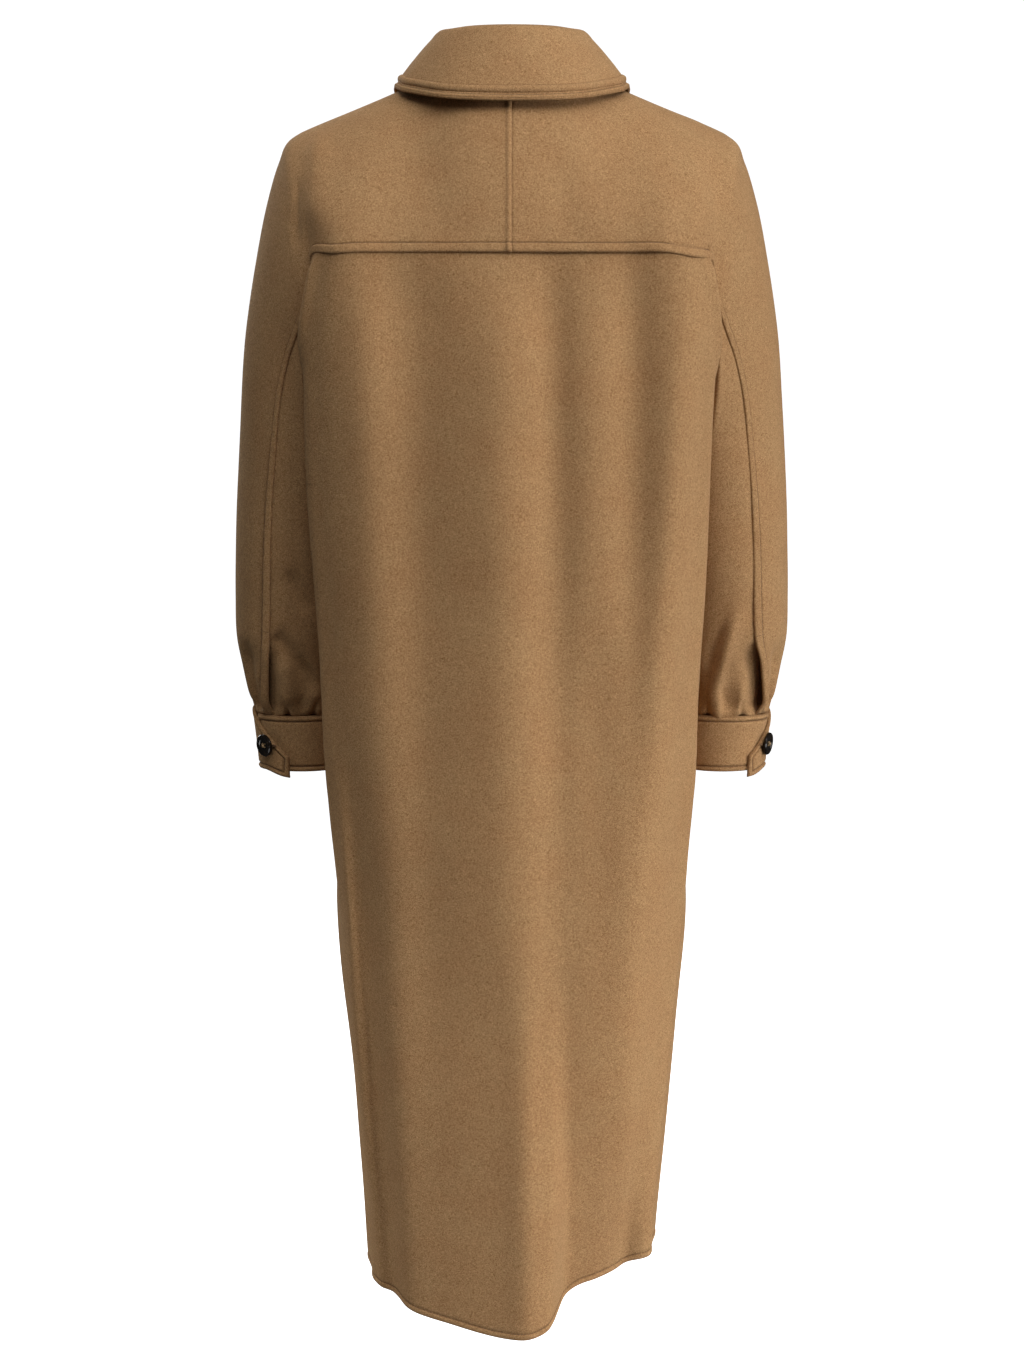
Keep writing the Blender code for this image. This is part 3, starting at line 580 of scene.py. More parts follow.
def sewn(name, lines):
    """Rows of short stitches lying in the cloth along lines of points and outward directions."""
    points, faces = [], []
    for line, out in lines:
        far = lengths(line)
        for begin in np.arange(STITCH_START * STITCH_PITCH, far[-1] - STITCH_PITCH, STITCH_PITCH):
            at = begin + STITCH_LONG * STITCH_AT
            middle = np.stack([np.interp(at, far, line[:, axis]) for axis in range(3)], axis=1)
            up = np.stack([np.interp(at, far, out[:, axis]) for axis in range(3)], axis=1)
            way = middle[-1] - middle[0]
            aside = np.cross(way / (np.linalg.norm(way) + 1e-12), up)
            lift = THREAD * STITCH_LIFT[:, None]
            wide = THREAD * STITCH_WIDE[:, None]
            middle = middle + up * lift
            base = len(points)
            for across, rise in ((1, 0), (0, 1), (-1, 0), (0, -1)):
                points.extend(middle + wide * (across * aside + rise * up))
            for side in range(4):
                here, beyond = base + 4 * side, base + 4 * ((side + 1) % 4)
                for part in range(3):
                    faces.append((here + part, here + part + 1, beyond + part + 1, beyond + part))
            faces.append(tuple(base + 4 * side for side in range(4)))
            faces.append(tuple(base + 3 + 4 * side for side in (3, 2, 1, 0)))
    piece = added(name, smooth_mesh(name, points, faces, brown_thread))
    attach(piece, "root")


camel = wool("camel_wool")
brown_thread = thread("brown_thread", (0.100, 0.048, 0.019), (0.240, 0.130, 0.055))
SEAM_STEPS = np.array([0.0, 0.0008, 0.0018, 0.0032, 0.0050, 0.0070])
BODY_COLUMNS = 128
BODY_TURNED_ROWS = 44
BODY_ROWS = 168
HEM_STEPS = np.array([0, 0.7, 1.6, 2.8, 4.2, 5.2, 6.0, 6.8, 7.8, 9.4, 12.0]) / 1000
HEM_STITCH_IN = 0.0060
# Painted shade: its width along stitch grooves and its strength in the hem's groove
PAINTED_SHADE_WIDE = 0.0009
HEM_PAINTED_SHADE = 0.35
# Painted shadow on the body just below the yoke's lapped edge
UNDER_YOKE_PAINTED_SHADOW, UNDER_YOKE_PAINTED_SHADOW_WIDE = 0.25, 0.0014
SEAM_SINK = 0.0014
SEAM_WIDE = 0.0035
TOP_SINK = 0.0003
TOP_WIDE = 0.006
UNDER_YOKE_SINK = 0.0016
GROOVE = 0.0010
GROOVE_WIDE = 0.0012
HEM_SWELL = 0.0006
HEM_SWELL_IN, HEM_SWELL_SOFT = 0.0045, 0.003
HEM_ROLL = 0.001
EVERY = slice(None)
BACK_POINTS = 401
OVERHANG = 0.0045
OVERHANG_IN = 0.0075
OVERHANG_SOFT = 0.0060
OVERHANG_FROM, OVERHANG_GROWS = 0.002, 0.018
OVERHANG_TO, OVERHANG_FADES = 0.070, 0.110
BODY_RUMPLE = 0.0007


def seam_dip(away, depth=SEAM_SINK, width=SEAM_WIDE):
    """The cloth rolls in at a seam."""
    return -depth * hump(away, width)


def line_of(grid, flip, row, column):
    """A line of a sheet's points to sew along, and the directions out of the cloth there."""
    return grid[row, column], outward(grid, flip)[row, column]


def body_rows(top, edge_top):
    """The levels down a panel of the body, and how far round the ring its armhole edge is."""
    rows = []
    for step in range(BODY_TURNED_ROWS):
        angle = 0.5 * math.pi * step / BODY_TURNED_ROWS
        down = top + (UNDERARM - top) * math.sin(angle)
        rows.append((down, edge_top + (SIDE - edge_top) * (1 - math.cos(angle))))
    hem_starts = HEM - HEM_STEPS[-1]
    for step in range(BODY_ROWS):
        rows.append((UNDERARM + (hem_starts - UNDERARM) * step / BODY_ROWS, SIDE))
    return rows + [(HEM - step, SIDE) for step in HEM_STEPS[::-1]]


def panel_relief(grid, seams, seed):
    """A panel of the body rolls in at its seams, and its hem is turned up and stitched.

    The stitches leave a shallow groove above the hem's rolled edge.
    """
    relief = seam_dip(from_rim(grid, *seams)) + seam_dip(from_rim(grid, "first"), TOP_SINK, TOP_WIDE)
    relief += rumples(grid, BODY_RUMPLE, seed)
    above = from_rim(grid, "last")
    relief -= GROOVE * hump(above - HEM_STITCH_IN, GROOVE_WIDE)
    relief += HEM_SWELL * (1 - ease((above - HEM_SWELL_IN) / HEM_SWELL_SOFT))
    return relief - HEM_SWELL * hump(above, HEM_ROLL)


def hem_painted_shade(grid):
    """How much painted shade darkens the hem's stitch groove."""
    return HEM_PAINTED_SHADE * hump(from_rim(grid, "last") - HEM_STITCH_IN, PAINTED_SHADE_WIDE)


hem_row = -1 - row_at(HEM_STEPS, HEM_STITCH_IN)
back_grid = []
for down, edge in body_rows(YOKE_BACK, FOLD):
    line = torso(edge * np.linspace(-1, 1, BACK_POINTS), down)
    back_grid.append(spaced(line, SEAM_STEPS, SEAM_STEPS, BODY_COLUMNS))
back_grid = np.array(back_grid)
from_side = from_rim(back_grid, "left", "right")
below_yoke = from_rim(back_grid, "first")
overhang = ease((below_yoke - OVERHANG_FROM) / OVERHANG_GROWS)
overhang *= 1 - ease((below_yoke - OVERHANG_TO) / OVERHANG_FADES)
back_relief = panel_relief(back_grid, ("left", "right"), 3)
back_relief += OVERHANG * overhang * hump(from_side - OVERHANG_IN, OVERHANG_SOFT)
# painted shade in the hem's stitch groove and painted shadow just below the yoke's edge
back_painted_shade = hem_painted_shade(back_grid) + UNDER_YOKE_PAINTED_SHADOW * hump(below_yoke, UNDER_YOKE_PAINTED_SHADOW_WIDE)
back_grid = raised(back_grid, back_relief, False)
back_hem_line = line_of(back_grid, False, hem_row, EVERY)
back_grid = tucked(back_grid, "first", UNDER_YOKE_SINK, False)
back = sheet_mesh("coat_back", [back_grid], [False], CLOTH, [carried(back_painted_shade)])
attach(back, "root")
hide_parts("back_body")
sewn("back_hem_stitches", [back_hem_line])


# ---------------------------------------------------------------- fronts
# The two fronts below the yoke, of the same wool. They button up at the middle, where the
# wearer's right front lies over the left, so the left one sinks a little there.

FRONT_OVERLAP = 0.036
UNDER_LAP = 0.0038
LAP_FULL = 0.0320
LAP_SOFT = 0.0300
FRONT_COLUMNS = 62
FRONT_POINTS = 301
EDGE_STITCH_IN = 0.0070
# Painted shade along the fronts' stitch grooves
EDGE_PAINTED_SHADE = 0.5
PLACKET = 0.0620
EDGE_STEPS = [0, 0.8, 2.0, 4.0, 5.8, 6.4, 7.0, 7.6, 8.4, 11, 20, 30, 45]
PLACKET_STEPS = np.array(EDGE_STEPS + [59, 60.8, 61.4, 62, 62.6, 63.2, 65]) / 1000


def lapped(points, sign):
    """Near the centre front the left side is the under side, so it lies further in."""
    if sign > 0:
        sunk = ease((LAP_FULL + LAP_SOFT - points[..., 0]) / LAP_SOFT)
        points[..., 1] += UNDER_LAP * sunk * (points[..., 1] < 0)
    return points


for side, sign in (("left", 1), ("right", -1)):
    flip = sign < 0
    grid = []
    for down, edge in body_rows(YOKE_FRONT, CHEST):
        line = torso(sign * np.linspace(edge, 1 + FRONT_OVERLAP, FRONT_POINTS), down)
        grid.append(spaced(lapped(line, sign), SEAM_STEPS, PLACKET_STEPS, FRONT_COLUMNS))
    grid = np.array(grid)
    relief = panel_relief(grid, ("left",), 5 + sign)
    painted_shade = hem_painted_shade(grid)
    from_front = from_rim(grid, "right")
    for inside in (EDGE_STITCH_IN, PLACKET):
        relief -= GROOVE * hump(from_front - inside, GROOVE_WIDE)
        # painted shade along each stitch groove
        painted_shade += EDGE_PAINTED_SHADE * hump(from_front - inside, PAINTED_SHADE_WIDE)
    grid = raised(grid, relief, flip)
    columns = [row_at(from_front[0], inside) for inside in (EDGE_STITCH_IN, PLACKET)]
    front_lines = [line_of(grid, flip, EVERY, column) for column in columns]
    sewn(f"front_stitches_{side}", front_lines + [line_of(grid, flip, hem_row, EVERY)])
    grid = tucked(grid, "first", UNDER_YOKE_SINK, flip)
    front = sheet_mesh(f"coat_front_{side}", [grid], [flip], CLOTH, [carried(painted_shade)])
    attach(front, "root")
    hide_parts(f"front_{side}")


# ---------------------------------------------------------------- yoke and outer sleeves
# Each half of the yoke is cut in one with its outer sleeve, of the same wool. Its edge is turned
# under, lapped over the body and the under sleeve, and stitched down a finger's width inside.

NECK_SIDE = 0.42
NECK_OVERLAP = 0.085
NECK = table(
    "turn x y z",
    (0.00, 0.000, 0.060, 0.018),
    (0.25, 0.050, 0.042, 0.017),
    (0.50, 0.072, -0.004, 0.012),
    (0.75, 0.052, -0.058, -0.028),
    (1.00, 0.000, -0.085, -0.062),
)
SHOULDER = table(
    "along x y z",
    (0.00, 0.072, -0.004, 0.012),
    (0.36, 0.118, -0.008, -0.0075),
    (0.68, 0.155, -0.012, -0.0225),
    (1.00, 0.190, -0.015, -0.0365),
)
SLEEVE = table(
    "out_x out_down in_x in_down mid_y back front back_seam front_seam",
    (0.2150, 0.0490, 0.1535, 0.390, -0.015, 0.098, 0.094, 77.0, 76.0),
    (0.2295, 0.0740, 0.1560, 0.395, -0.016, 0.092, 0.090, 82.5, 77.0),
    (0.2410, 0.1120, 0.1580, 0.402, -0.017, 0.085, 0.084, 82.0, 78.0),
    (0.2520, 0.1650, 0.1600, 0.412, -0.019, 0.078, 0.078, 78.4, 78.0),
    (0.2620, 0.2280, 0.1620, 0.425, -0.021, 0.072, 0.073, 75.5, 78.0),
    (0.2690, 0.3000, 0.1630, 0.445, -0.024, 0.067, 0.069, 74.3, 78.0),
    (0.2740, 0.3760, 0.1640, 0.475, -0.028, 0.063, 0.066, 72.5, 78.0),
    (0.2770, 0.4450, 0.1650, 0.510, -0.033, 0.061, 0.064, 72.0, 78.0),
    (0.2785, 0.5000, 0.1660, 0.540, -0.038, 0.059, 0.062, 72.0, 78.0),
    (0.2775, 0.5450, 0.1680, 0.565, -0.042, 0.057, 0.059, 70.7, 77.0),
    (0.2725, 0.5750, 0.1700, 0.585, -0.046, 0.053, 0.054, 66.4, 76.0),
    (0.2665, 0.6020, 0.1710, 0.605, -0.049, 0.048, 0.049, 60.0, 75.0),
    (0.2610, 0.6230, 0.1710, 0.6225, -0.051, 0.044, 0.045, 54.5, 74.0),
)
CUFF_PLEATS = table(
    "angle depth spread",
    (20.0, 0.0030, 9.0),
    (78.0, 0.0045, 9.0),
    (99.0, -0.0040, 8.0),
    (118.0, 0.0050, 10.0),
    (141.0, -0.0040, 9.0),
    (215.0, 0.0035, 13.0),
    (262.0, 0.0040, 13.0),
)
PLEATS_FROM = 9
PLEATS_HELD = 0.45
TURN_FROM = 8
CUFF_TURN = {1: 0.0, -1: -20.0}
SEAM_FOLLOWS = 0.45
YOKE_RISE = 0.055
YOKE_LEAN = {True: -0.004, False: 0.004}
YOKE_AT_MIDDLE = {True: (0.0, 0.026, -0.040), False: (0.0, -0.010, -0.030)}
YOKE_AT_SHOULDER = {True: (0.0, 0.052, -0.004), False: (0.0, -0.044, -0.006)}
YOKE_DROOP = {1: 0.0030, -1: 0.0085}
DROOP_FROM = 0.70
SLEEVE_RINGS = len(SLEEVE["back"])


def half_ring(rows, names, turn):
    """A ring given from its centre back to its centre front, closed by its mirror image."""
    points = np.stack([rows[name] for name in names.split()], axis=1)
    flip = np.array([-1.0, 1.0, 1.0])
    keys = rows["turn"]
    keys = np.concatenate(([-keys[1]], keys, [2 - keys[-2]]))
    points = np.vstack((points[1] * flip, points, points[-2] * flip))
    return through(keys, points, turn)


def yoke_section(width, back, sign, parts):
    """A line up the yoke from its seam to the neck's edge or to the shoulder line."""
    past = max(-width, 0.0)
    width = max(width, 0.0)
    if back:
        low = torso(sign * width * FOLD, YOKE_BACK)[0]
        low[2] -= YOKE_DROOP[sign] * ease((width - DROOP_FROM) / (1 - DROOP_FROM))
    else:
        low = torso(sign * (1 - width * (1 - CHEST) + past), YOKE_FRONT)[0]
    turn = 0.5 * width / NECK_SIDE
    if turn <= 0.5:
        neck_turn = turn if back else 1 - turn + past * NECK_OVERLAP / FRONT_OVERLAP
        top = half_ring(NECK, "x y z", neck_turn)[0]
    else:
        line = np.stack([SHOULDER[name] for name in "x y z".split()], axis=1)
        top = through(SHOULDER["along"], line, (width - NECK_SIDE) / (1 - NECK_SIDE))[0]
    top = top * np.array([sign, 1.0, 1.0])
    across = ease((turn + past * NECK_OVERLAP / FRONT_OVERLAP) / 0.5)
    steep, level = np.array(YOKE_AT_MIDDLE[back]), np.array(YOKE_AT_SHOULDER[back])
    controls = (
        low,
        low + np.array([0.0, YOKE_LEAN[back], YOKE_RISE]),
        top + steep * (1 - across) + level * across,
        top,
    )
    t = np.asarray(parts)[:, None]
    weights = ((1 - t) ** 3, 3 * t * (1 - t) ** 2, 3 * t**2 * (1 - t), t**3)
    return sum(weight * point for weight, point in zip(weights, controls))


def tube_ring(rows, index, angles, sign):
    """Points of one ring of a tube: angle 0 is outermost, 90 is at the back."""
    row = {name: rows[name][index] for name in rows}
    outer = np.array([row["out_x"], row["mid_y"], -row["out_down"]])
    inner = np.array([row["in_x"], row["mid_y"], -row["in_down"]])
    angles = np.radians(np.asarray(angles, dtype=float))
    depth = np.where(np.sin(angles) > 0, row["back"], row["front"])
    points = (outer + inner) / 2 + np.cos(angles)[:, None] * (outer - inner) / 2
    points[:, 1] += depth * np.sin(angles)
    points[:, 0] *= sign
    return points


def sleeve_ring(index, angles, sign):
    """A ring of the sleeve, with the pleats that gather it into the cuff."""
    angles = np.asarray(angles, dtype=float)
    points = tube_ring(SLEEVE, index, angles, sign)
    centre = tube_ring(SLEEVE, index, [0.0, 180.0], sign).mean(axis=0)
    relief = np.zeros(len(angles))
    last = SLEEVE_RINGS - 1
    grown = ease((index - PLEATS_FROM) / (last - 1 - PLEATS_FROM)) if index < last else PLEATS_HELD
    for angle, depth, spread in zip(*CUFF_PLEATS.values()):
        away = (angles - angle + 180) % 360 - 180
        relief += depth * grown * hump(away, spread)
    away_from = points - centre
    away_from /= np.linalg.norm(away_from, axis=1)[:, None]
    return points + away_from * relief[:, None]


def seam_angles(index, sign):
    """The angles of the sleeve's back and front seams on one ring."""
    towards_cuff = ease((index - TURN_FROM) / (SLEEVE_RINGS - 1 - TURN_FROM))
    back_seam = SLEEVE["back_seam"][index] + SEAM_FOLLOWS * CUFF_TURN[sign] * towards_cuff
    return back_seam, SLEEVE["front_seam"][index]


STITCH_IN = 0.0095
LAP_STEPS = np.array([0, 0.8, 1.8, 3.2, 5.0, 6.6, 7.8, 8.7, 9.5, 10.3, 11.2, 12.6, 15, 18.5]) / 1000
CENTRE_STEPS = np.array([0, 0.8, 1.8, 3.0, 4.2, 5.0, 5.6, 6.4, 7.4, 9.0, 11.5]) / 1000
CENTRE_STITCH_IN = 0.0056
CENTRE_LAP, CENTRE_LAP_SOFT = 0.0044, 0.0030
CENTRE_LAP_THICK, CENTRE_LAP_EDGE = 0.0013, 0.0016
CENTRE_GROOVE, CENTRE_GROOVE_WIDE = 0.0006, 0.0010
CENTRE_SINK, CENTRE_SINK_WIDE = 0.0005, 0.0014
# Painted shade in the centre back seam and along its stitch groove
CENTRE_PAINTED_SHADE, CENTRE_STITCH_PAINTED_SHADE, CENTRE_PAINTED_SHADE_WIDE = 0.24, 0.06, 0.0008
LAP_THICK = 0.0021
LAP_EDGE, LAP_EDGE_START = 0.0026, 0.35
LAP_END, LAP_END_SOFT = 0.0078, 0.0040
LAP_GROOVE, LAP_GROOVE_WIDE = 0.0016, 0.0010
# Painted shade along the lap's stitch groove and at its folded edge
LAP_PAINTED_SHADE = 0.62
LAP_EDGE_PAINTED_SHADE, LAP_EDGE_PAINTED_SHADE_WIDE = 0.30, 0.0008
PUCKER = 0.00030
PUCKER_WAVES = (0.0023, 0.0173)
PUCKER_IN = 0.0060
YOKE_ROWS = 54
NECK_COLUMNS = 9
YOKE_WIDTHS = [*NECK_SIDE * np.linspace(0, 1, NECK_COLUMNS), 0.56, 0.70, 0.85, 1.0]
COLUMN_SPACING = 0.0036
SHOULDER_STEPS = 190
NECK_ROLL = 16
NECK_ROLL_PASSES = 60
CUFF_SINK = 0.0022
CUFF_SOFT = 0.02
SHOULDER_SOFT = 0.006
SLEEVE_RUMPLE = 0.0006
SLEEVE_RUMPLE_IN = 0.03
SLIT_LONG = 0.092
SLIT_SOFT = 0.030
SLIT_HELD = 0.014
SLIT_LIFT_WIDE = 0.011
SLIT_PULL_WIDE = 0.030
SLIT_LIFT = {"left": 0.0022, "right": 0.0030}
SLIT_PULL = {"left": 0.0002, "right": 0.0028}
BACK_CREASES = {
    "left": (
        (0.0070, 0.014, 0.3, 0.35, [(0.187, 0.035), (0.187, 0.158)]),
        (-0.0020, 0.0045, 0.3, 0.3, [(0.206, 0.082), (0.207, 0.165)]),
        (-0.0014, 0.020, 0.3, 0.2, [(0.105, 0.045), (0.083, 0.095), (0.058, 0.170)]),
        (-0.0060, 0.0060, 0.4, 0.0, [(0.268, 0.540), (0.265, 0.565), (0.261, 0.594), (0.257, 0.618)]),
        (0.0030, 0.0060, 0.4, 0.0, [(0.258, 0.560), (0.252, 0.600), (0.249, 0.621)]),
    ),
    "right": (
        (0.0030, 0.013, 0.3, 0.35, [(-0.181, 0.040), (-0.180, 0.160)]),
        (-0.0024, 0.017, 0.3, 0.2, [(-0.040, 0.055), (-0.050, 0.110), (-0.062, 0.170)]),
        (-0.0022, 0.013, 0.3, 0.2, [(-0.168, 0.085), (-0.158, 0.170)]),
        (-0.0055, 0.0060, 0.4, 0.0, [(-0.270, 0.540), (-0.266, 0.560), (-0.260, 0.599), (-0.257, 0.618)]),
        (0.0030, 0.0055, 0.4, 0.0, [(-0.262, 0.560), (-0.255, 0.600), (-0.252, 0.621)]),
    ),
}
FRONT_CREASES = {
    "left": (
        (-0.0030, 0.010, 0.4, 0.1, [(0.205, 0.110), (0.178, 0.190), (0.160, 0.250)]),
        (-0.0040, 0.0070, 0.4, 0.0, [(0.245, 0.520), (0.238, 0.575), (0.232, 0.618)]),
        (-0.0035, 0.0070, 0.4, 0.0, [(0.205, 0.530), (0.208, 0.580), (0.206, 0.618)]),
        (-0.0030, 0.012, 0.3, 0.3, [(0.190, 0.395), (0.235, 0.360), (0.262, 0.372)]),
    ),
    "right": (
        (-0.0028, 0.010, 0.4, 0.1, [(-0.202, 0.120), (-0.176, 0.200), (-0.160, 0.260)]),
        (-0.0040, 0.0070, 0.4, 0.0, [(-0.242, 0.510), (-0.236, 0.570), (-0.230, 0.618)]),
        (-0.0030, 0.0070, 0.4, 0.0, [(-0.206, 0.535), (-0.209, 0.585), (-0.207, 0.618)]),
        (-0.0028, 0.012, 0.3, 0.3, [(-0.188, 0.410), (-0.232, 0.385), (-0.258, 0.400)]),
    ),
}


def lap_relief(away, run):
    """A lapped edge: a raised band of folded cloth and a groove where the stitches pull in."""
    band = LAP_THICK * ease(away / LAP_EDGE + LAP_EDGE_START)
    band *= 1 - ease((away - LAP_END) / LAP_END_SOFT)
    groove = -LAP_GROOVE * hump(away - STITCH_IN, LAP_GROOVE_WIDE)
    pucker = PUCKER * np.sin(run / PUCKER_WAVES[0]) * np.sin(run / PUCKER_WAVES[1] + 1.0)
    return band + groove + pucker * hump(away - PUCKER_IN, PUCKER_IN)


def half_sheet(at_back, sign):
    """The back or front half of the piece, and which of its lines ends at the neck's side."""
    fine = np.linspace(0, 1, 121)
    overlap = [] if at_back else [-FRONT_OVERLAP, -FRONT_OVERLAP / 2]
    columns = [yoke_section(width, at_back, sign, fine) for width in overlap + YOKE_WIDTHS]
    if not at_back:
        columns = [lapped(column, sign) for column in columns]
    for index in range(SLEEVE_RINGS):
        back_seam, front_seam = seam_angles(index, sign)
        start = back_seam if at_back else -front_seam
        columns.append(sleeve_ring(index, start * (1 - fine), sign))
    columns = np.array([spaced(line, LAP_STEPS, [0.0], YOKE_ROWS) for line in columns])
    keys = lengths(columns.mean(axis=1))
    split = keys[len(overlap) + NECK_COLUMNS - 1]
    near = CENTRE_STEPS if at_back else [0.0]
    before = np.linspace(near[-1], split, int((split - near[-1]) / COLUMN_SPACING) + 1)
    before = np.concatenate((near[:-1], before))
    beyond = np.linspace(split, keys[-1], SHOULDER_STEPS + 1)[1:]
    return through(keys, columns, np.concatenate((before, beyond))), len(before) - 1


def rolled(sheet, neck):
    """The cloth rolls over the side of the neck, with no kink below it."""
    near = hump(np.arange(len(sheet)) - neck, NECK_ROLL)[:, None, None]
    near = near * ease(np.arange(sheet.shape[1]) / NECK_ROLL)[None, :, None]
    for _ in range(NECK_ROLL_PASSES):
        sheet[1:-1] += near[1:-1] * (0.25 * (sheet[:-2] + sheet[2:]) - 0.5 * sheet[1:-1])


def joined(back, back_neck, front, front_neck):
    """Both halves meet along the shoulder line, from the neck's side to the cuff."""
    seam = 0.5 * (back[back_neck:, -1] + front[front_neck:, -1])
    back[back_neck:, -1] = seam
    front[front_neck:, -1] = seam


for side, sign in (("left", 1), ("right", -1)):
    sheets, necks = zip(*(half_sheet(at_back, sign) for at_back in (True, False)))
    for sheet, neck in zip(sheets, necks):
        rolled(sheet, neck)
    joined(sheets[0], necks[0], sheets[1], necks[1])
    halves, flips, painted_shade, seam_lines = [], [], [], []
    for at_back, grid in zip((True, False), sheets):
        flip = (sign < 0) == at_back
        away = from_rim(grid, "left")
        from_cuff = from_rim(grid, "last")
        fade = ease(from_cuff / CUFF_SOFT)
        relief = lap_relief(away, lengths(grid[:, 0])[:, None]) * fade - CUFF_SINK * (1 - fade)
        # painted shade along the lap's stitch groove and at its edge
        dark_thread_and_painted_shade = LAP_PAINTED_SHADE * hump(away - STITCH_IN, PAINTED_SHADE_WIDE) * fade
        dark_thread_and_painted_shade += LAP_EDGE_PAINTED_SHADE * hump(away, LAP_EDGE_PAINTED_SHADE_WIDE)
        if at_back:
            centre = from_rim(grid, "first")
            if sign > 0:
                lap = 1 - ease((centre - CENTRE_LAP) / CENTRE_LAP_SOFT)
                relief += CENTRE_LAP_THICK * lap * ease(centre / CENTRE_LAP_EDGE)
                relief -= CENTRE_GROOVE * hump(centre - CENTRE_STITCH_IN, CENTRE_GROOVE_WIDE)
                # painted shade along the centre back's stitch groove
                dark_thread_and_painted_shade += CENTRE_STITCH_PAINTED_SHADE * hump(centre - CENTRE_STITCH_IN, CENTRE_PAINTED_SHADE_WIDE)
            relief += seam_dip(centre, CENTRE_SINK, CENTRE_SINK_WIDE)
            relief += creases(grid, BACK_CREASES[side])
            opened = ease((SLIT_LONG - from_cuff) / SLIT_SOFT) * ease(from_cuff / SLIT_HELD)
            relief += SLIT_LIFT[side] * opened * hump(away, SLIT_LIFT_WIDE)
            inwards = grid[:, 4] - grid[:, 0]
            inwards /= np.linalg.norm(inwards, axis=1)[:, None]
            pull = SLIT_PULL[side] * opened * (1 - ease(away / SLIT_PULL_WIDE))
            grid = grid + inwards[:, None] * pull[:, :, None]
            # painted shade in the centre back seam
            dark_thread_and_painted_shade += CENTRE_PAINTED_SHADE * hump(centre, CENTRE_PAINTED_SHADE_WIDE)
            tack = row_at(from_cuff[:, 0], SLIT_LONG)
        else:
            relief += creases(grid, FRONT_CREASES[side])
        relief += rumples(grid, SLEEVE_RUMPLE, 11) * ease(away / SLEEVE_RUMPLE_IN)
        relief *= 1 - hump(from_rim(grid, "right"), SHOULDER_SOFT)
        grid = raised(grid, relief, flip)
        stitch_row = row_at(LAP_STEPS, STITCH_IN)
        seam_lines.append(line_of(grid, flip, EVERY, stitch_row))
        halves.append(grid)
        flips.append(flip)
        painted_shade.append(dark_thread_and_painted_shade)
    seam_lines.append(line_of(halves[0], flips[0], tack, slice(0, stitch_row + 2)))
    joined(halves[0], necks[0], halves[1], necks[1])
    outer = sheet_mesh(f"yoke_and_outer_sleeve_{side}", halves, flips, CLOTH, painted_shade)
    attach(outer, "root")
    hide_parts(f"yoke_sleeve_{side}")
    sewn(f"lap_stitches_{side}", seam_lines)


# ---------------------------------------------------------------- under sleeves
# The under sleeve, of the same wool, runs from the armhole to the cuff inside the outer
# sleeve's seams. Its end is laid in tucks into the cuff, and its back seam is left open there
# as a short slit.

BLENDED_RINGS = 6
UNDER_COLUMNS = 110
UNDER_SPACING = 0.0045
UNDER_LAP_SINK = 0.0018
UNDER_SEAM_SINK, UNDER_SEAM_WIDE = 0.0004, 0.006
UNDER_RUMPLE_SIZE = 0.13
UNDER_BACK_FROM, UNDER_BACK_SOFT = -0.050, 0.020
SLIT_DEPTH = {"left": 0.0036, "right": 0.0070}
SLIT_WIDE = 0.013
UNDER_SLIT_HELD = 0.010
TUCKS = {
    "left": (
        (-0.0050, 0.0080, 0.10, 0.30, [(0.238, 0.536), (0.220, 0.556), (0.203, 0.582), (0.196, 0.600)]),
        (0.0032, 0.0120, 0.30, 0.20, [(0.232, 0.560), (0.222, 0.585), (0.214, 0.612)]),
        (-0.0042, 0.0034, 0.70, 0.0, [(0.236, 0.602), (0.230, 0.614), (0.226, 0.625)]),
        (-0.0035, 0.0030, 0.70, 0.0, [(0.221, 0.606), (0.224, 0.616), (0.226, 0.625)]),
        (-0.0045, 0.0036, 0.60, 0.0, [(0.190, 0.600), (0.196, 0.613), (0.201, 0.625)]),
        (-0.0030, 0.0090, 0.30, 0.30, [(0.224, 0.470), (0.208, 0.500), (0.198, 0.520)]),
    ),
    "right": (
        (0.0065, 0.0075, 0.35, 0.0, [(-0.228, 0.500), (-0.213, 0.552), (-0.203, 0.597), (-0.208, 0.625)]),
        (-0.0050, 0.0065, 0.35, 0.0, [(-0.214, 0.515), (-0.200, 0.560), (-0.191, 0.600), (-0.196, 0.625)]),
        (-0.0035, 0.0100, 0.35, 0.10, [(-0.240, 0.545), (-0.226, 0.590), (-0.217, 0.622)]),
        (-0.0030, 0.0030, 0.60, 0.0, [(-0.232, 0.604), (-0.234, 0.625)]),
    ),
}
FRONT_TUCKS = {
    "left": (
        (-0.0040, 0.0050, 0.50, 0.0, [(0.196, 0.560), (0.194, 0.595), (0.192, 0.625)]),
        (-0.0040, 0.0050, 0.50, 0.0, [(0.216, 0.575), (0.214, 0.600), (0.213, 0.625)]),
    ),
    "right": (
        (-0.0040, 0.0050, 0.50, 0.0, [(-0.195, 0.565), (-0.194, 0.595), (-0.193, 0.625)]),
        (-0.0040, 0.0050, 0.50, 0.0, [(-0.218, 0.570), (-0.216, 0.600), (-0.214, 0.625)]),
    ),
}


def armhole(part, sign):
    """The armhole's curve under the arm: 0 is at the back yoke, 1 at the front yoke."""
    if part <= 0.5:
        angle = math.pi * part
        down = YOKE_BACK + (UNDERARM - YOKE_BACK) * math.sin(angle)
        place = FOLD + (SIDE - FOLD) * (1 - math.cos(angle))
    else:
        angle = math.pi * (1 - part)
        down = YOKE_FRONT + (UNDERARM - YOKE_FRONT) * math.sin(angle)
        place = CHEST - (CHEST - SIDE) * (1 - math.cos(angle))
    return torso(sign * place, down)[0]


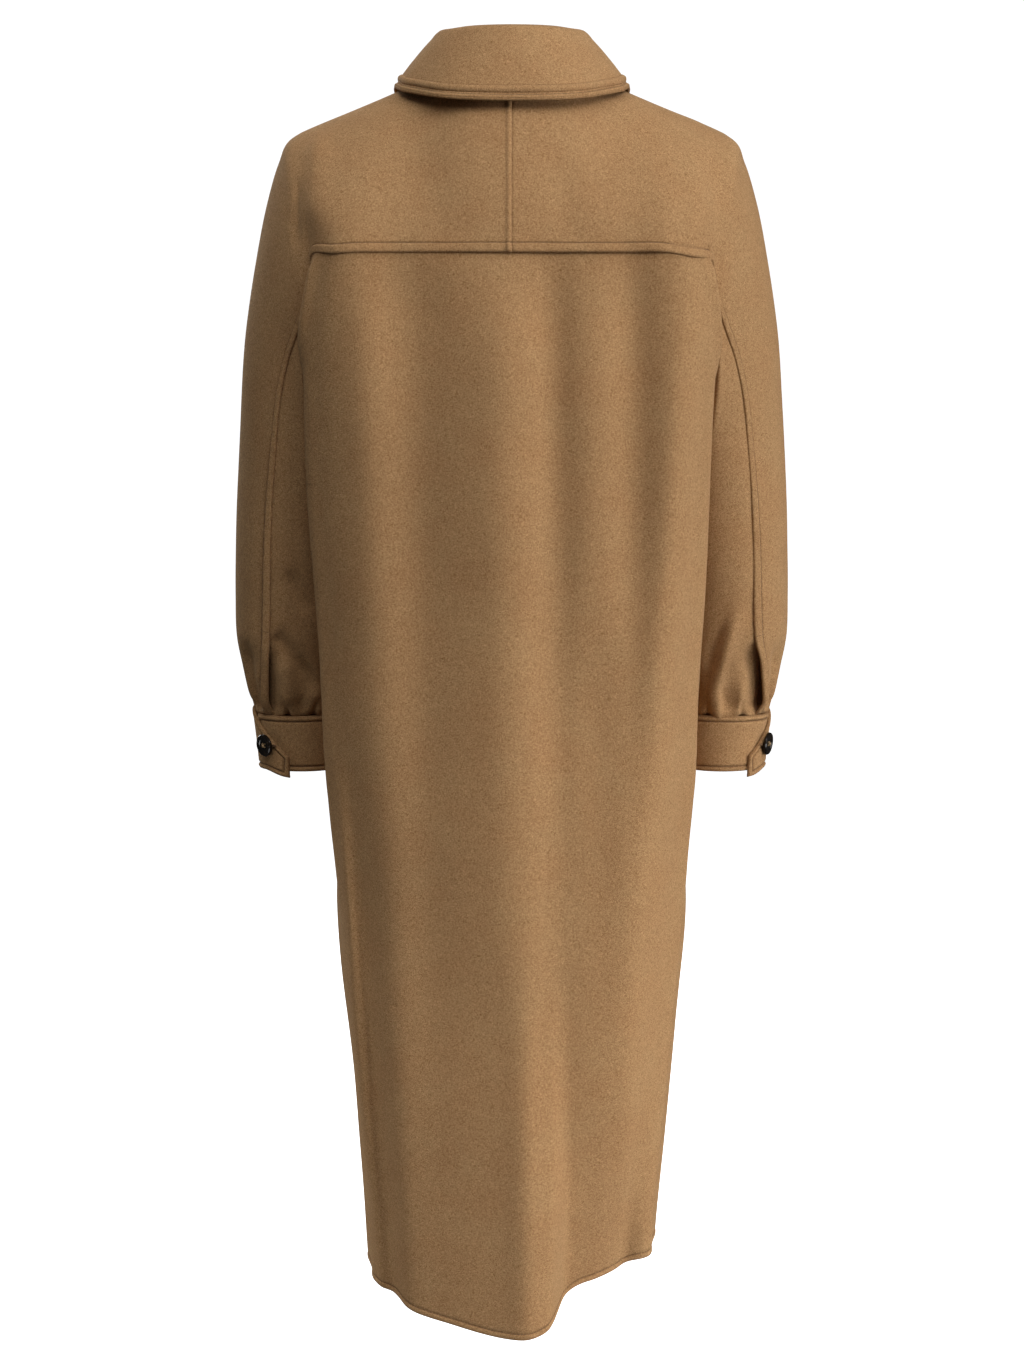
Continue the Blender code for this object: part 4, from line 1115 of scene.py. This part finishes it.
def under_sheet(sign):
    """Rings from the armhole to the cuff, the first few carried over from the armhole's curve."""
    parts = np.linspace(0, 1, 121)
    hole = np.array([armhole(part, sign) for part in parts])
    rows = [hole]
    for index in range(SLEEVE_RINGS):
        back_seam, front_seam = seam_angles(index, sign)
        ring = sleeve_ring(index, back_seam + (360 - back_seam - front_seam) * parts, sign)
        shifted = hole + (ring[0] - hole[0]) * (1 - parts[:, None])
        shifted += (ring[-1] - hole[-1]) * parts[:, None]
        tube = ease((index + 1) / BLENDED_RINGS)
        rows.append(shifted * (1 - tube) + ring * tube)
    rows = np.array([spaced(row, SEAM_STEPS, SEAM_STEPS, UNDER_COLUMNS) for row in rows])
    keys = lengths(rows.mean(axis=1))
    return through(keys, rows, np.linspace(0.0, keys[-1], int(keys[-1] / UNDER_SPACING) + 1))


for side, sign in (("left", 1), ("right", -1)):
    flip = sign > 0
    grid = under_sheet(sign)
    from_cuff = from_rim(grid, "last")
    fade = ease(from_cuff / CUFF_SOFT)
    relief = seam_dip(from_rim(grid, "left", "right"), UNDER_SEAM_SINK, UNDER_SEAM_WIDE)
    relief += rumples(grid, SLEEVE_RUMPLE, 17, UNDER_RUMPLE_SIZE)
    relief = relief * fade - CUFF_SINK * (1 - fade)
    at_back = ease((grid[:, :, 1] - UNDER_BACK_FROM) / UNDER_BACK_SOFT)
    relief += creases(grid, TUCKS[side], at_back)
    relief += creases(grid, FRONT_TUCKS[side], 1 - at_back)
    opened = ease((SLIT_LONG - from_cuff) / SLIT_SOFT) * ease(from_cuff / UNDER_SLIT_HELD)
    relief -= SLIT_DEPTH[side] * opened * hump(from_rim(grid, "left"), SLIT_WIDE)
    grid = raised(grid, relief, flip)
    grid = tucked(grid, "left", UNDER_LAP_SINK, flip)
    grid = tucked(grid, "right", UNDER_LAP_SINK, flip)
    under = sheet_mesh(f"under_sleeve_cloth_{side}", [grid], [flip], CLOTH)
    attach(under, "root")
    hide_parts(f"under_sleeve_{side}")


# ---------------------------------------------------------------- cuffs
# A doubled band of wool round the wrist, stitched near all its edges. Its end is a flap that
# laps over the band and is cut on a slope to a blunt point.

CUFF = table(
    "out_x out_down in_x in_down mid_y back front",
    (0.2605, 0.6235, 0.1710, 0.6230, -0.051, 0.0440, 0.0450),
    (0.2575, 0.6420, 0.1712, 0.6410, -0.052, 0.0435, 0.0445),
    (0.2555, 0.6610, 0.1716, 0.6600, -0.053, 0.0430, 0.0440),
    (0.2540, 0.6790, 0.1720, 0.6790, -0.054, 0.0425, 0.0435),
)
CUFF_START = 22.0
CUFF_END = 435.0
FLAP_FROM = 362.0
FLAP_SLOPE = 0.041
FLAP_SLOPE_BEND = 1.2
FLAP_DIP, FLAP_DIP_FROM, FLAP_DIP_SOFT = 0.006, 395.0, 40.0
FLAP_LIFT, FLAP_LIFT_FROM, FLAP_LIFT_SOFT = 0.0036, 330.0, 50.0
FLAP_STANDS, FLAP_STANDS_FROM, FLAP_STANDS_SOFT = 0.0070, 325.0, 40.0
CUFF_CLOTH = 0.0032
CUFF_STEPS = np.array([0, 0.8, 1.8, 3.0, 4.2, 5.0, 5.6, 6.4, 7.6]) / 1000
CUFF_STITCH_IN = 0.0050
CUFF_FULL = 0.0010
CUFF_GROOVE, CUFF_GROOVE_WIDE = 0.0015, 0.0010
CUFF_RIM, CUFF_RIM_IN, CUFF_RIM_SOFT = 0.0005, 0.0030, 0.002
CUFF_ROLL, CUFF_ROLL_WIDE = 0.0010, 0.0012
# Painted shade along the cuff's stitch groove and at its rolled rim
CUFF_PAINTED_SHADE = 0.60
CUFF_RIM_PAINTED_SHADE, CUFF_RIM_PAINTED_SHADE_WIDE = 0.35, 0.0007
CUFF_POINTS = 41
CUFF_SECTIONS = 180
CUFF_BETWEEN = (12, 130)
CUFF_ROWS = len(CUFF["back"])


def cuff_section(angle, sign, down):
    """A line down the cuff at an angle that runs from its under end to the flap's end."""
    turned = angle + CUFF_TURN[sign]
    line = np.array([tube_ring(CUFF, row, [turned], sign)[0] for row in range(CUFF_ROWS)])
    ends = [tube_ring(CUFF, row, [0, 180], sign) for row in range(CUFF_ROWS)]
    centre = np.array(ends).mean(axis=1)
    away_from = line - centre
    away_from /= np.linalg.norm(away_from, axis=1)[:, None]
    line += away_from * FLAP_LIFT * ease((angle - FLAP_LIFT_FROM) / FLAP_LIFT_SOFT)
    line[0, 2] += FLAP_STANDS * ease((angle - FLAP_STANDS_FROM) / FLAP_STANDS_SOFT)
    along_flap = np.clip((angle - FLAP_FROM) / (CUFF_END - FLAP_FROM), 0, 1)
    slope = FLAP_SLOPE * along_flap**FLAP_SLOPE_BEND
    height = line[0, 2] - line[-1, 2]
    first = slope / height
    down = first + (1 - first) * np.asarray(down)
    points = through(np.linspace(0, 1, CUFF_ROWS), line, down)
    points[:, 2] -= FLAP_DIP * ease((angle - FLAP_DIP_FROM) / FLAP_DIP_SOFT) * down
    return points


for side, sign in (("left", 1), ("right", -1)):
    flip = sign > 0
    down = np.linspace(0, 1, CUFF_POINTS)
    angles = np.linspace(CUFF_START, CUFF_END, CUFF_SECTIONS)
    sections = [cuff_section(angle, sign, down) for angle in angles]
    sections = np.array([spaced(line, CUFF_STEPS, CUFF_STEPS, CUFF_BETWEEN[0]) for line in sections])
    across = sections.transpose(1, 0, 2)
    grid = np.array([spaced(line, CUFF_STEPS, CUFF_STEPS, CUFF_BETWEEN[1]) for line in across])
    away = from_rim(grid, "left", "right", "first", "last")
    relief = CUFF_FULL - CUFF_GROOVE * hump(away - CUFF_STITCH_IN, CUFF_GROOVE_WIDE)
    relief += CUFF_RIM * (1 - ease((away - CUFF_RIM_IN) / CUFF_RIM_SOFT))
    relief -= CUFF_ROLL * hump(away, CUFF_ROLL_WIDE)
    # painted shade in the stitch groove and at the rim
    dark_thread_and_painted_shade = CUFF_PAINTED_SHADE * hump(away - CUFF_STITCH_IN, PAINTED_SHADE_WIDE)
    dark_thread_and_painted_shade += CUFF_RIM_PAINTED_SHADE * hump(away, CUFF_RIM_PAINTED_SHADE_WIDE)
    grid = raised(grid, relief, flip)
    row = row_at(CUFF_STEPS, CUFF_STITCH_IN)
    inside = slice(row, -row)
    lines = ((row, inside), (-1 - row, inside), (inside, -1 - row))
    sewn(f"cuff_stitches_{side}", [line_of(grid, flip, *line) for line in lines])
    cuff = sheet_mesh(f"cuff_band_{side}", [grid], [flip], CUFF_CLOTH, [dark_thread_and_painted_shade])
    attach(cuff, "root")
    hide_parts(f"cuff_{side}")


# ---------------------------------------------------------------- collar and its stand
# The collar is two layers of wool seamed together and turned, stitched round near its edge.
# It is sewn to a stand, the band that closes round the neck, and folds down over it.

COLLAR = table(
    "turn fold_x fold_y fold_z edge_x edge_y edge_z",
    (0.000, 0.0000, 0.0640, 0.0488, 0.0000, 0.0905, -0.0205),
    (0.125, 0.0250, 0.0590, 0.0488, 0.0330, 0.0885, -0.0200),
    (0.250, 0.0470, 0.0460, 0.0487, 0.0650, 0.0765, -0.0175),
    (0.375, 0.0660, 0.0250, 0.0482, 0.0930, 0.0440, -0.0110),
    (0.440, 0.0715, 0.0120, 0.0476, 0.1065, 0.0240, -0.0070),
    (0.500, 0.0735, 0.0000, 0.0468, 0.1125, -0.0020, -0.0020),
    (0.750, 0.0560, -0.0500, 0.0140, 0.0990, -0.0720, -0.0420),
    (1.000, 0.0120, -0.0800, -0.0270, 0.0600, -0.1120, -0.1000),
)
COLLAR_REACH = 0.95
STAND_TOP = table(
    "turn x y z",
    (0.00, 0.000, 0.0555, 0.0430),
    (0.25, 0.0435, 0.0380, 0.0425),
    (0.50, 0.0655, -0.0040, 0.0385),
    (0.75, 0.0470, -0.0510, 0.0000),
    (1.00, 0.000, -0.0760, -0.0350),
)
COLLAR_CLOTH = 0.0034
COLLAR_STITCH_IN = 0.0105
COLLAR_EDGE = [0, 0.7, 1.4, 2.0, 2.6, 3.2, 4.0, 5.4, 7.2]
COLLAR_STEPS = np.array(COLLAR_EDGE + [8.6, 9.4, 10.0, 10.5, 11.0, 11.6, 12.6, 14.5]) / 1000
COLLAR_PINCH_IN = 0.0026
COLLAR_PINCH, COLLAR_PINCH_WIDE = 0.0011, 0.0007
COLLAR_GROOVE, COLLAR_GROOVE_WIDE = 0.0024, 0.0012
COLLAR_RIM, COLLAR_RIM_EDGE, COLLAR_RIM_START = 0.0007, 0.003, 0.2
COLLAR_RIM_IN, COLLAR_RIM_SOFT = 0.0085, 0.0030
# Painted shade in the collar's stitch groove and along the pinch near its edge
COLLAR_PAINTED_SHADE = 1.15
COLLAR_PINCH_PAINTED_SHADE, COLLAR_PINCH_PAINTED_SHADE_WIDE = 0.45, 0.0006
COLLAR_LINES = 241
COLLAR_POINTS = 61
COLLAR_BETWEEN = (26, 150)
COLLAR_TOP = 14
COLLAR_LIFT = np.array([0.0, 0.0, 0.0012])
COLLAR_OVER = np.array([0.0, 0.0, 0.0035])
COLLAR_SINK = np.array([0.0, 0.0, -0.001])
COLLAR_HIP = 0.12
COLLAR_FULL = 0.0010
STAND_LINES = 121
STAND_ROWS = 13
STAND_BELOW = -0.05

stand_grid = []
for turn in np.concatenate(([-1 - NECK_OVERLAP], np.linspace(-1, 1, STAND_LINES), [1 + NECK_OVERLAP])):
    sign = 1.0 if turn >= 0 else -1.0
    low = half_ring(NECK, "x y z", abs(turn))[0] * np.array([sign, 1, 1])
    top = half_ring(STAND_TOP, "x y z", abs(turn))[0] * np.array([sign, 1, 1])
    line = low + (top - low) * np.linspace(STAND_BELOW, 1, STAND_ROWS)[:, None]
    stand_grid.append(lapped(line, turn))
stand = sheet_mesh("collar_stand_band", [np.array(stand_grid)], [False], CLOTH)
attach(stand, "root")
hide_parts("collar_stand")

collar_grid = []
for turn in np.linspace(-1, 1, COLLAR_LINES):
    sign = np.array([1.0 if turn >= 0 else -1.0, 1, 1])
    fold = half_ring(COLLAR, "fold_x fold_y fold_z", abs(turn))[0] * sign
    edge = half_ring(COLLAR, "edge_x edge_y edge_z", abs(turn))[0] * sign
    start = half_ring(STAND_TOP, "x y z", COLLAR_REACH * abs(turn))[0] * sign
    start = start + COLLAR_LIFT
    over = (start + fold) / 2 + COLLAR_OVER
    hip = fold + (edge - fold) * COLLAR_HIP + COLLAR_SINK
    middle = (fold + edge) / 2
    middle += COLLAR_FULL * np.array([middle[0], middle[1], 0]) / np.hypot(middle[0], middle[1])
    line = np.array([start, over, hip, middle, edge])
    far = lengths(line)
    line = through(far, line, np.linspace(0, far[-1], COLLAR_POINTS))
    collar_grid.append(spaced(line, [0.0], COLLAR_STEPS, COLLAR_BETWEEN[0]))
collar_grid = np.array(collar_grid)
across = collar_grid.transpose(1, 0, 2)
across = [spaced(line, COLLAR_STEPS, COLLAR_STEPS, COLLAR_BETWEEN[1]) for line in across]
collar_grid = np.array(across).transpose(1, 0, 2)
away = from_rim(collar_grid, "right", "first", "last")
collar_relief = COLLAR_RIM * ease(away / COLLAR_RIM_EDGE + COLLAR_RIM_START)
collar_relief *= 1 - ease((away - COLLAR_RIM_IN) / COLLAR_RIM_SOFT)
collar_relief -= COLLAR_GROOVE * hump(away - COLLAR_STITCH_IN, COLLAR_GROOVE_WIDE)
collar_relief -= COLLAR_PINCH * hump(away - COLLAR_PINCH_IN, COLLAR_PINCH_WIDE)
collar_grid = raised(collar_grid, collar_relief, False)
row = row_at(COLLAR_STEPS, COLLAR_STITCH_IN)
beside = slice(COLLAR_TOP, -row)
lines = ((slice(row, -row), -1 - row), (row, beside), (-1 - row, beside))
sewn("collar_stitches", [line_of(collar_grid, False, *line) for line in lines])
# painted shade in the stitch groove and the edge's pinch
collar_painted_shade = COLLAR_PAINTED_SHADE * hump(away - COLLAR_STITCH_IN, COLLAR_GROOVE_WIDE)
collar_painted_shade += COLLAR_PINCH_PAINTED_SHADE * hump(away - COLLAR_PINCH_IN, COLLAR_PINCH_PAINTED_SHADE_WIDE)
collar = sheet_mesh("collar_leaf", [collar_grid], [False], COLLAR_CLOTH, [collar_painted_shade])
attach(collar, "root")
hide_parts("collar")


# ---------------------------------------------------------------- buttons
# Round four-hole buttons of dark polished horn, turned with a raised rim and sewn on with
# crossed threads. The slit that each one passes through is sewn round with thread.

BUTTON_RADIUS = 0.0115
BUTTON_THICK = 0.0040
BUTTON_DISH = 0.0012
BUTTON_SIDES = 56
BUTTON_PROFILE = (
    (0.02, BUTTON_THICK - BUTTON_DISH),
    (0.56, BUTTON_THICK - BUTTON_DISH),
    (0.63, BUTTON_THICK - 0.85 * BUTTON_DISH),
    (0.70, BUTTON_THICK - 0.30 * BUTTON_DISH),
    (0.77, BUTTON_THICK - 0.04 * BUTTON_DISH),
    (0.85, BUTTON_THICK),
    (0.92, BUTTON_THICK - 0.20 * BUTTON_DISH),
    (0.975, BUTTON_THICK - 0.75 * BUTTON_DISH),
    (1.00, 0.55 * BUTTON_THICK),
    (0.985, 0.28 * BUTTON_THICK),
    (0.90, 0.07 * BUTTON_THICK),
    (0.72, 0.0),
    (0.02, 0.0),
)
HOLE_RADIUS = 0.00115
HOLE_AWAY = 0.0029 * math.sqrt(0.5)
HOLE_SIDES = 16
BUTTON_THREAD = 0.00036
THREAD_DIP = 0.0022
THREAD_DIP_FROM = 0.80
THREAD_RISE = 0.0003
THREAD_ABOVE = 0.0004
THREADS_BESIDE = 0.00034
THREAD_OVER = 0.0009
CUFF_MIDDLE = (0.2145, -0.052)
BUTTONHOLE_HALF = 0.0136
BUTTONHOLE_WIDE = 0.0012
HOLE_THREAD = 0.0007
HOLE_STITCHES = 24
HOLE_STITCH_HIGH = 0.06


def horn():
    """Dark horn: near black, with faint brown streaks under a polish."""
    made, shader = finish("dark_horn", 0.16, 0.40)
    streaks = clouded(made, 160.0, 3.0, 0.5, 2.0)
    colour = toned(made, streaks, 0.40, (0.004, 0.003, 0.0025), 0.90, (0.030, 0.017, 0.009))
    made.node_tree.links.new(colour, shader.inputs["Base Color"])
    return made


def turned(profile, sides):
    """A turned solid, from its face's middle over the rim to its back's middle."""
    angles = 2 * math.pi * np.arange(sides) / sides
    points = [
        (radius * BUTTON_RADIUS * math.cos(angle), radius * BUTTON_RADIUS * math.sin(angle), height)
        for radius, height in profile
        for angle in angles
    ]
    faces = [tuple(range(sides))]
    for ring in range(len(profile) - 1):
        for side in range(sides):
            here, beyond = ring * sides + side, ring * sides + (side + 1) % sides
            faces.append((here, here + sides, beyond + sides, beyond))
    last = (len(profile) - 1) * sides
    faces.append(tuple(range(last + sides - 1, last - 1, -1)))
    mesh = bpy.data.meshes.new("blank")
    mesh.from_pydata(points, [], faces)
    return mesh


def drilled(mesh, places):
    """The button with round holes drilled through it."""
    blank = added("blank", mesh)
    points, faces = [], []
    for x, y in places:
        base = len(points)
        for height in (-BUTTON_THICK, 2 * BUTTON_THICK):
            for angle in 2 * math.pi * np.arange(HOLE_SIDES) / HOLE_SIDES:
                across, along = HOLE_RADIUS * math.cos(angle), HOLE_RADIUS * math.sin(angle)
                points.append((x + across, y + along, height))
        for side in range(HOLE_SIDES):
            here, beyond = base + side, base + (side + 1) % HOLE_SIDES
            faces.append((here, beyond, beyond + HOLE_SIDES, here + HOLE_SIDES))
        faces.append(tuple(base + side for side in range(HOLE_SIDES - 1, -1, -1)))
        faces.append(tuple(base + HOLE_SIDES + side for side in range(HOLE_SIDES)))
    bits = bpy.data.meshes.new("bits")
    bits.from_pydata(points, [], faces)
    bit = added("bit", bits)
    cut = blank.modifiers.new("holes", "BOOLEAN")
    cut.operation = "DIFFERENCE"
    cut.solver = "EXACT"
    cut.object = bit
    shaped = blank.evaluated_get(bpy.context.evaluated_depsgraph_get())
    made = bpy.data.meshes.new_from_object(shaped)
    bpy.data.objects.remove(blank)
    bpy.data.objects.remove(bit)
    return made


def strand(path, radius, sides=6):
    """The points and faces of a thread along a path."""
    path = np.asarray(path)
    ways = np.gradient(path, axis=0)
    points, faces = [], []
    for place, way in zip(path, ways):
        way = Vector(way).normalized()
        aside = way.orthogonal().normalized() if abs(way.z) > 0.9 else way.cross(Vector((0, 0, 1)))
        aside.normalize()
        up = way.cross(aside)
        for side in range(sides):
            angle = 2 * math.pi * side / sides
            points.append(Vector(place) + radius * (math.cos(angle) * aside + math.sin(angle) * up))
    for ring in range(len(path) - 1):
        for side in range(sides):
            here, beyond = ring * sides + side, ring * sides + (side + 1) % sides
            faces.append((here, beyond, beyond + sides, here + sides))
    faces.append(tuple(range(sides - 1, -1, -1)))
    faces.append(tuple(range((len(path) - 1) * sides, len(path) * sides)))
    return points, faces


def crossed(paint):
    """Two pairs of crossed threads through a button's four holes."""
    face = BUTTON_THICK - BUTTON_DISH
    points, faces = [], []
    for turn, lift in ((1, 0.0), (-1, THREAD_OVER)):
        for beside in (-THREADS_BESIDE, THREADS_BESIDE):
            path = []
            for part in np.linspace(-1, 1, 9):
                away = HOLE_AWAY * part
                height = face + THREAD_ABOVE + (lift + THREAD_RISE) * (1 - part**2)
                height -= THREAD_DIP * max(0.0, abs(part) - THREAD_DIP_FROM) / (1 - THREAD_DIP_FROM)
                path.append((away + beside * turn, away * turn - beside, height))
            more, sides = strand(path, BUTTON_THREAD)
            faces.extend(tuple(corner + len(points) for corner in side) for side in sides)
            points.extend(more)
    return smooth_mesh("crossed_threads", points, faces, paint)


def buttonhole(name, upright, hollow):
    """Threads sewn close together round the slit that the button passes through."""
    path = []
    for angle in np.linspace(0, 2 * math.pi, 49):
        far = BUTTONHOLE_HALF * math.cos(angle)
        uneven = 1 + HOLE_STITCH_HIGH * math.cos(HOLE_STITCHES * angle)
        beside = BUTTONHOLE_WIDE * math.sin(angle) * uneven
        low = -far * far / (2 * hollow)
        path.append((beside, far, low) if upright else (far, beside, low))
    points, faces = strand(path, HOLE_THREAD)
    return smooth_mesh(name, points, faces, brown_thread)


light_thread = thread("light_thread", (0.30, 0.18, 0.08), (0.60, 0.42, 0.22))
front_hole = buttonhole("front_hole", True, 0.40)
neck_hole = buttonhole("neck_hole", False, 0.06)
cuff_hole = buttonhole("cuff_hole", False, 0.046)
hole_places = [(x * HOLE_AWAY, y * HOLE_AWAY) for x in (-1, 1) for y in (-1, 1)]
horn_button = drilled(turned(BUTTON_PROFILE, BUTTON_SIDES), hole_places)
horn_button.materials.clear()
horn_button.materials.append(horn())
cross = crossed(light_thread)
for node, solid in sorted(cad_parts.items()):
    if not node.startswith("button"):
        continue
    corners = np.array([solid.matrix_world @ corner.co for corner in solid.data.vertices])
    middle = corners.mean(axis=0)
    axis = np.linalg.svd(corners - middle)[2][2]
    inside = np.array([0.0, 0.0, middle[2]])
    if "cuff" in node:
        inside[:2] = math.copysign(CUFF_MIDDLE[0], middle[0]), CUFF_MIDDLE[1]
    axis = axis if axis @ (middle - inside) > 0 else -axis
    slit = cuff_hole if "cuff" in node else neck_hole if "collar" in node else front_hole
    parts = ((f"horn_{node}", horn_button), (f"thread_{node}", cross), (f"hole_{node}", slit))
    for name, mesh in parts:
        piece = added(name, mesh)
        piece.rotation_euler = Vector(axis).to_track_quat("Z", "Y").to_euler()
        piece.location = middle - axis * BUTTON_THICK / 2
        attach(piece, "root")
        if mesh is horn_button:
            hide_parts(node)
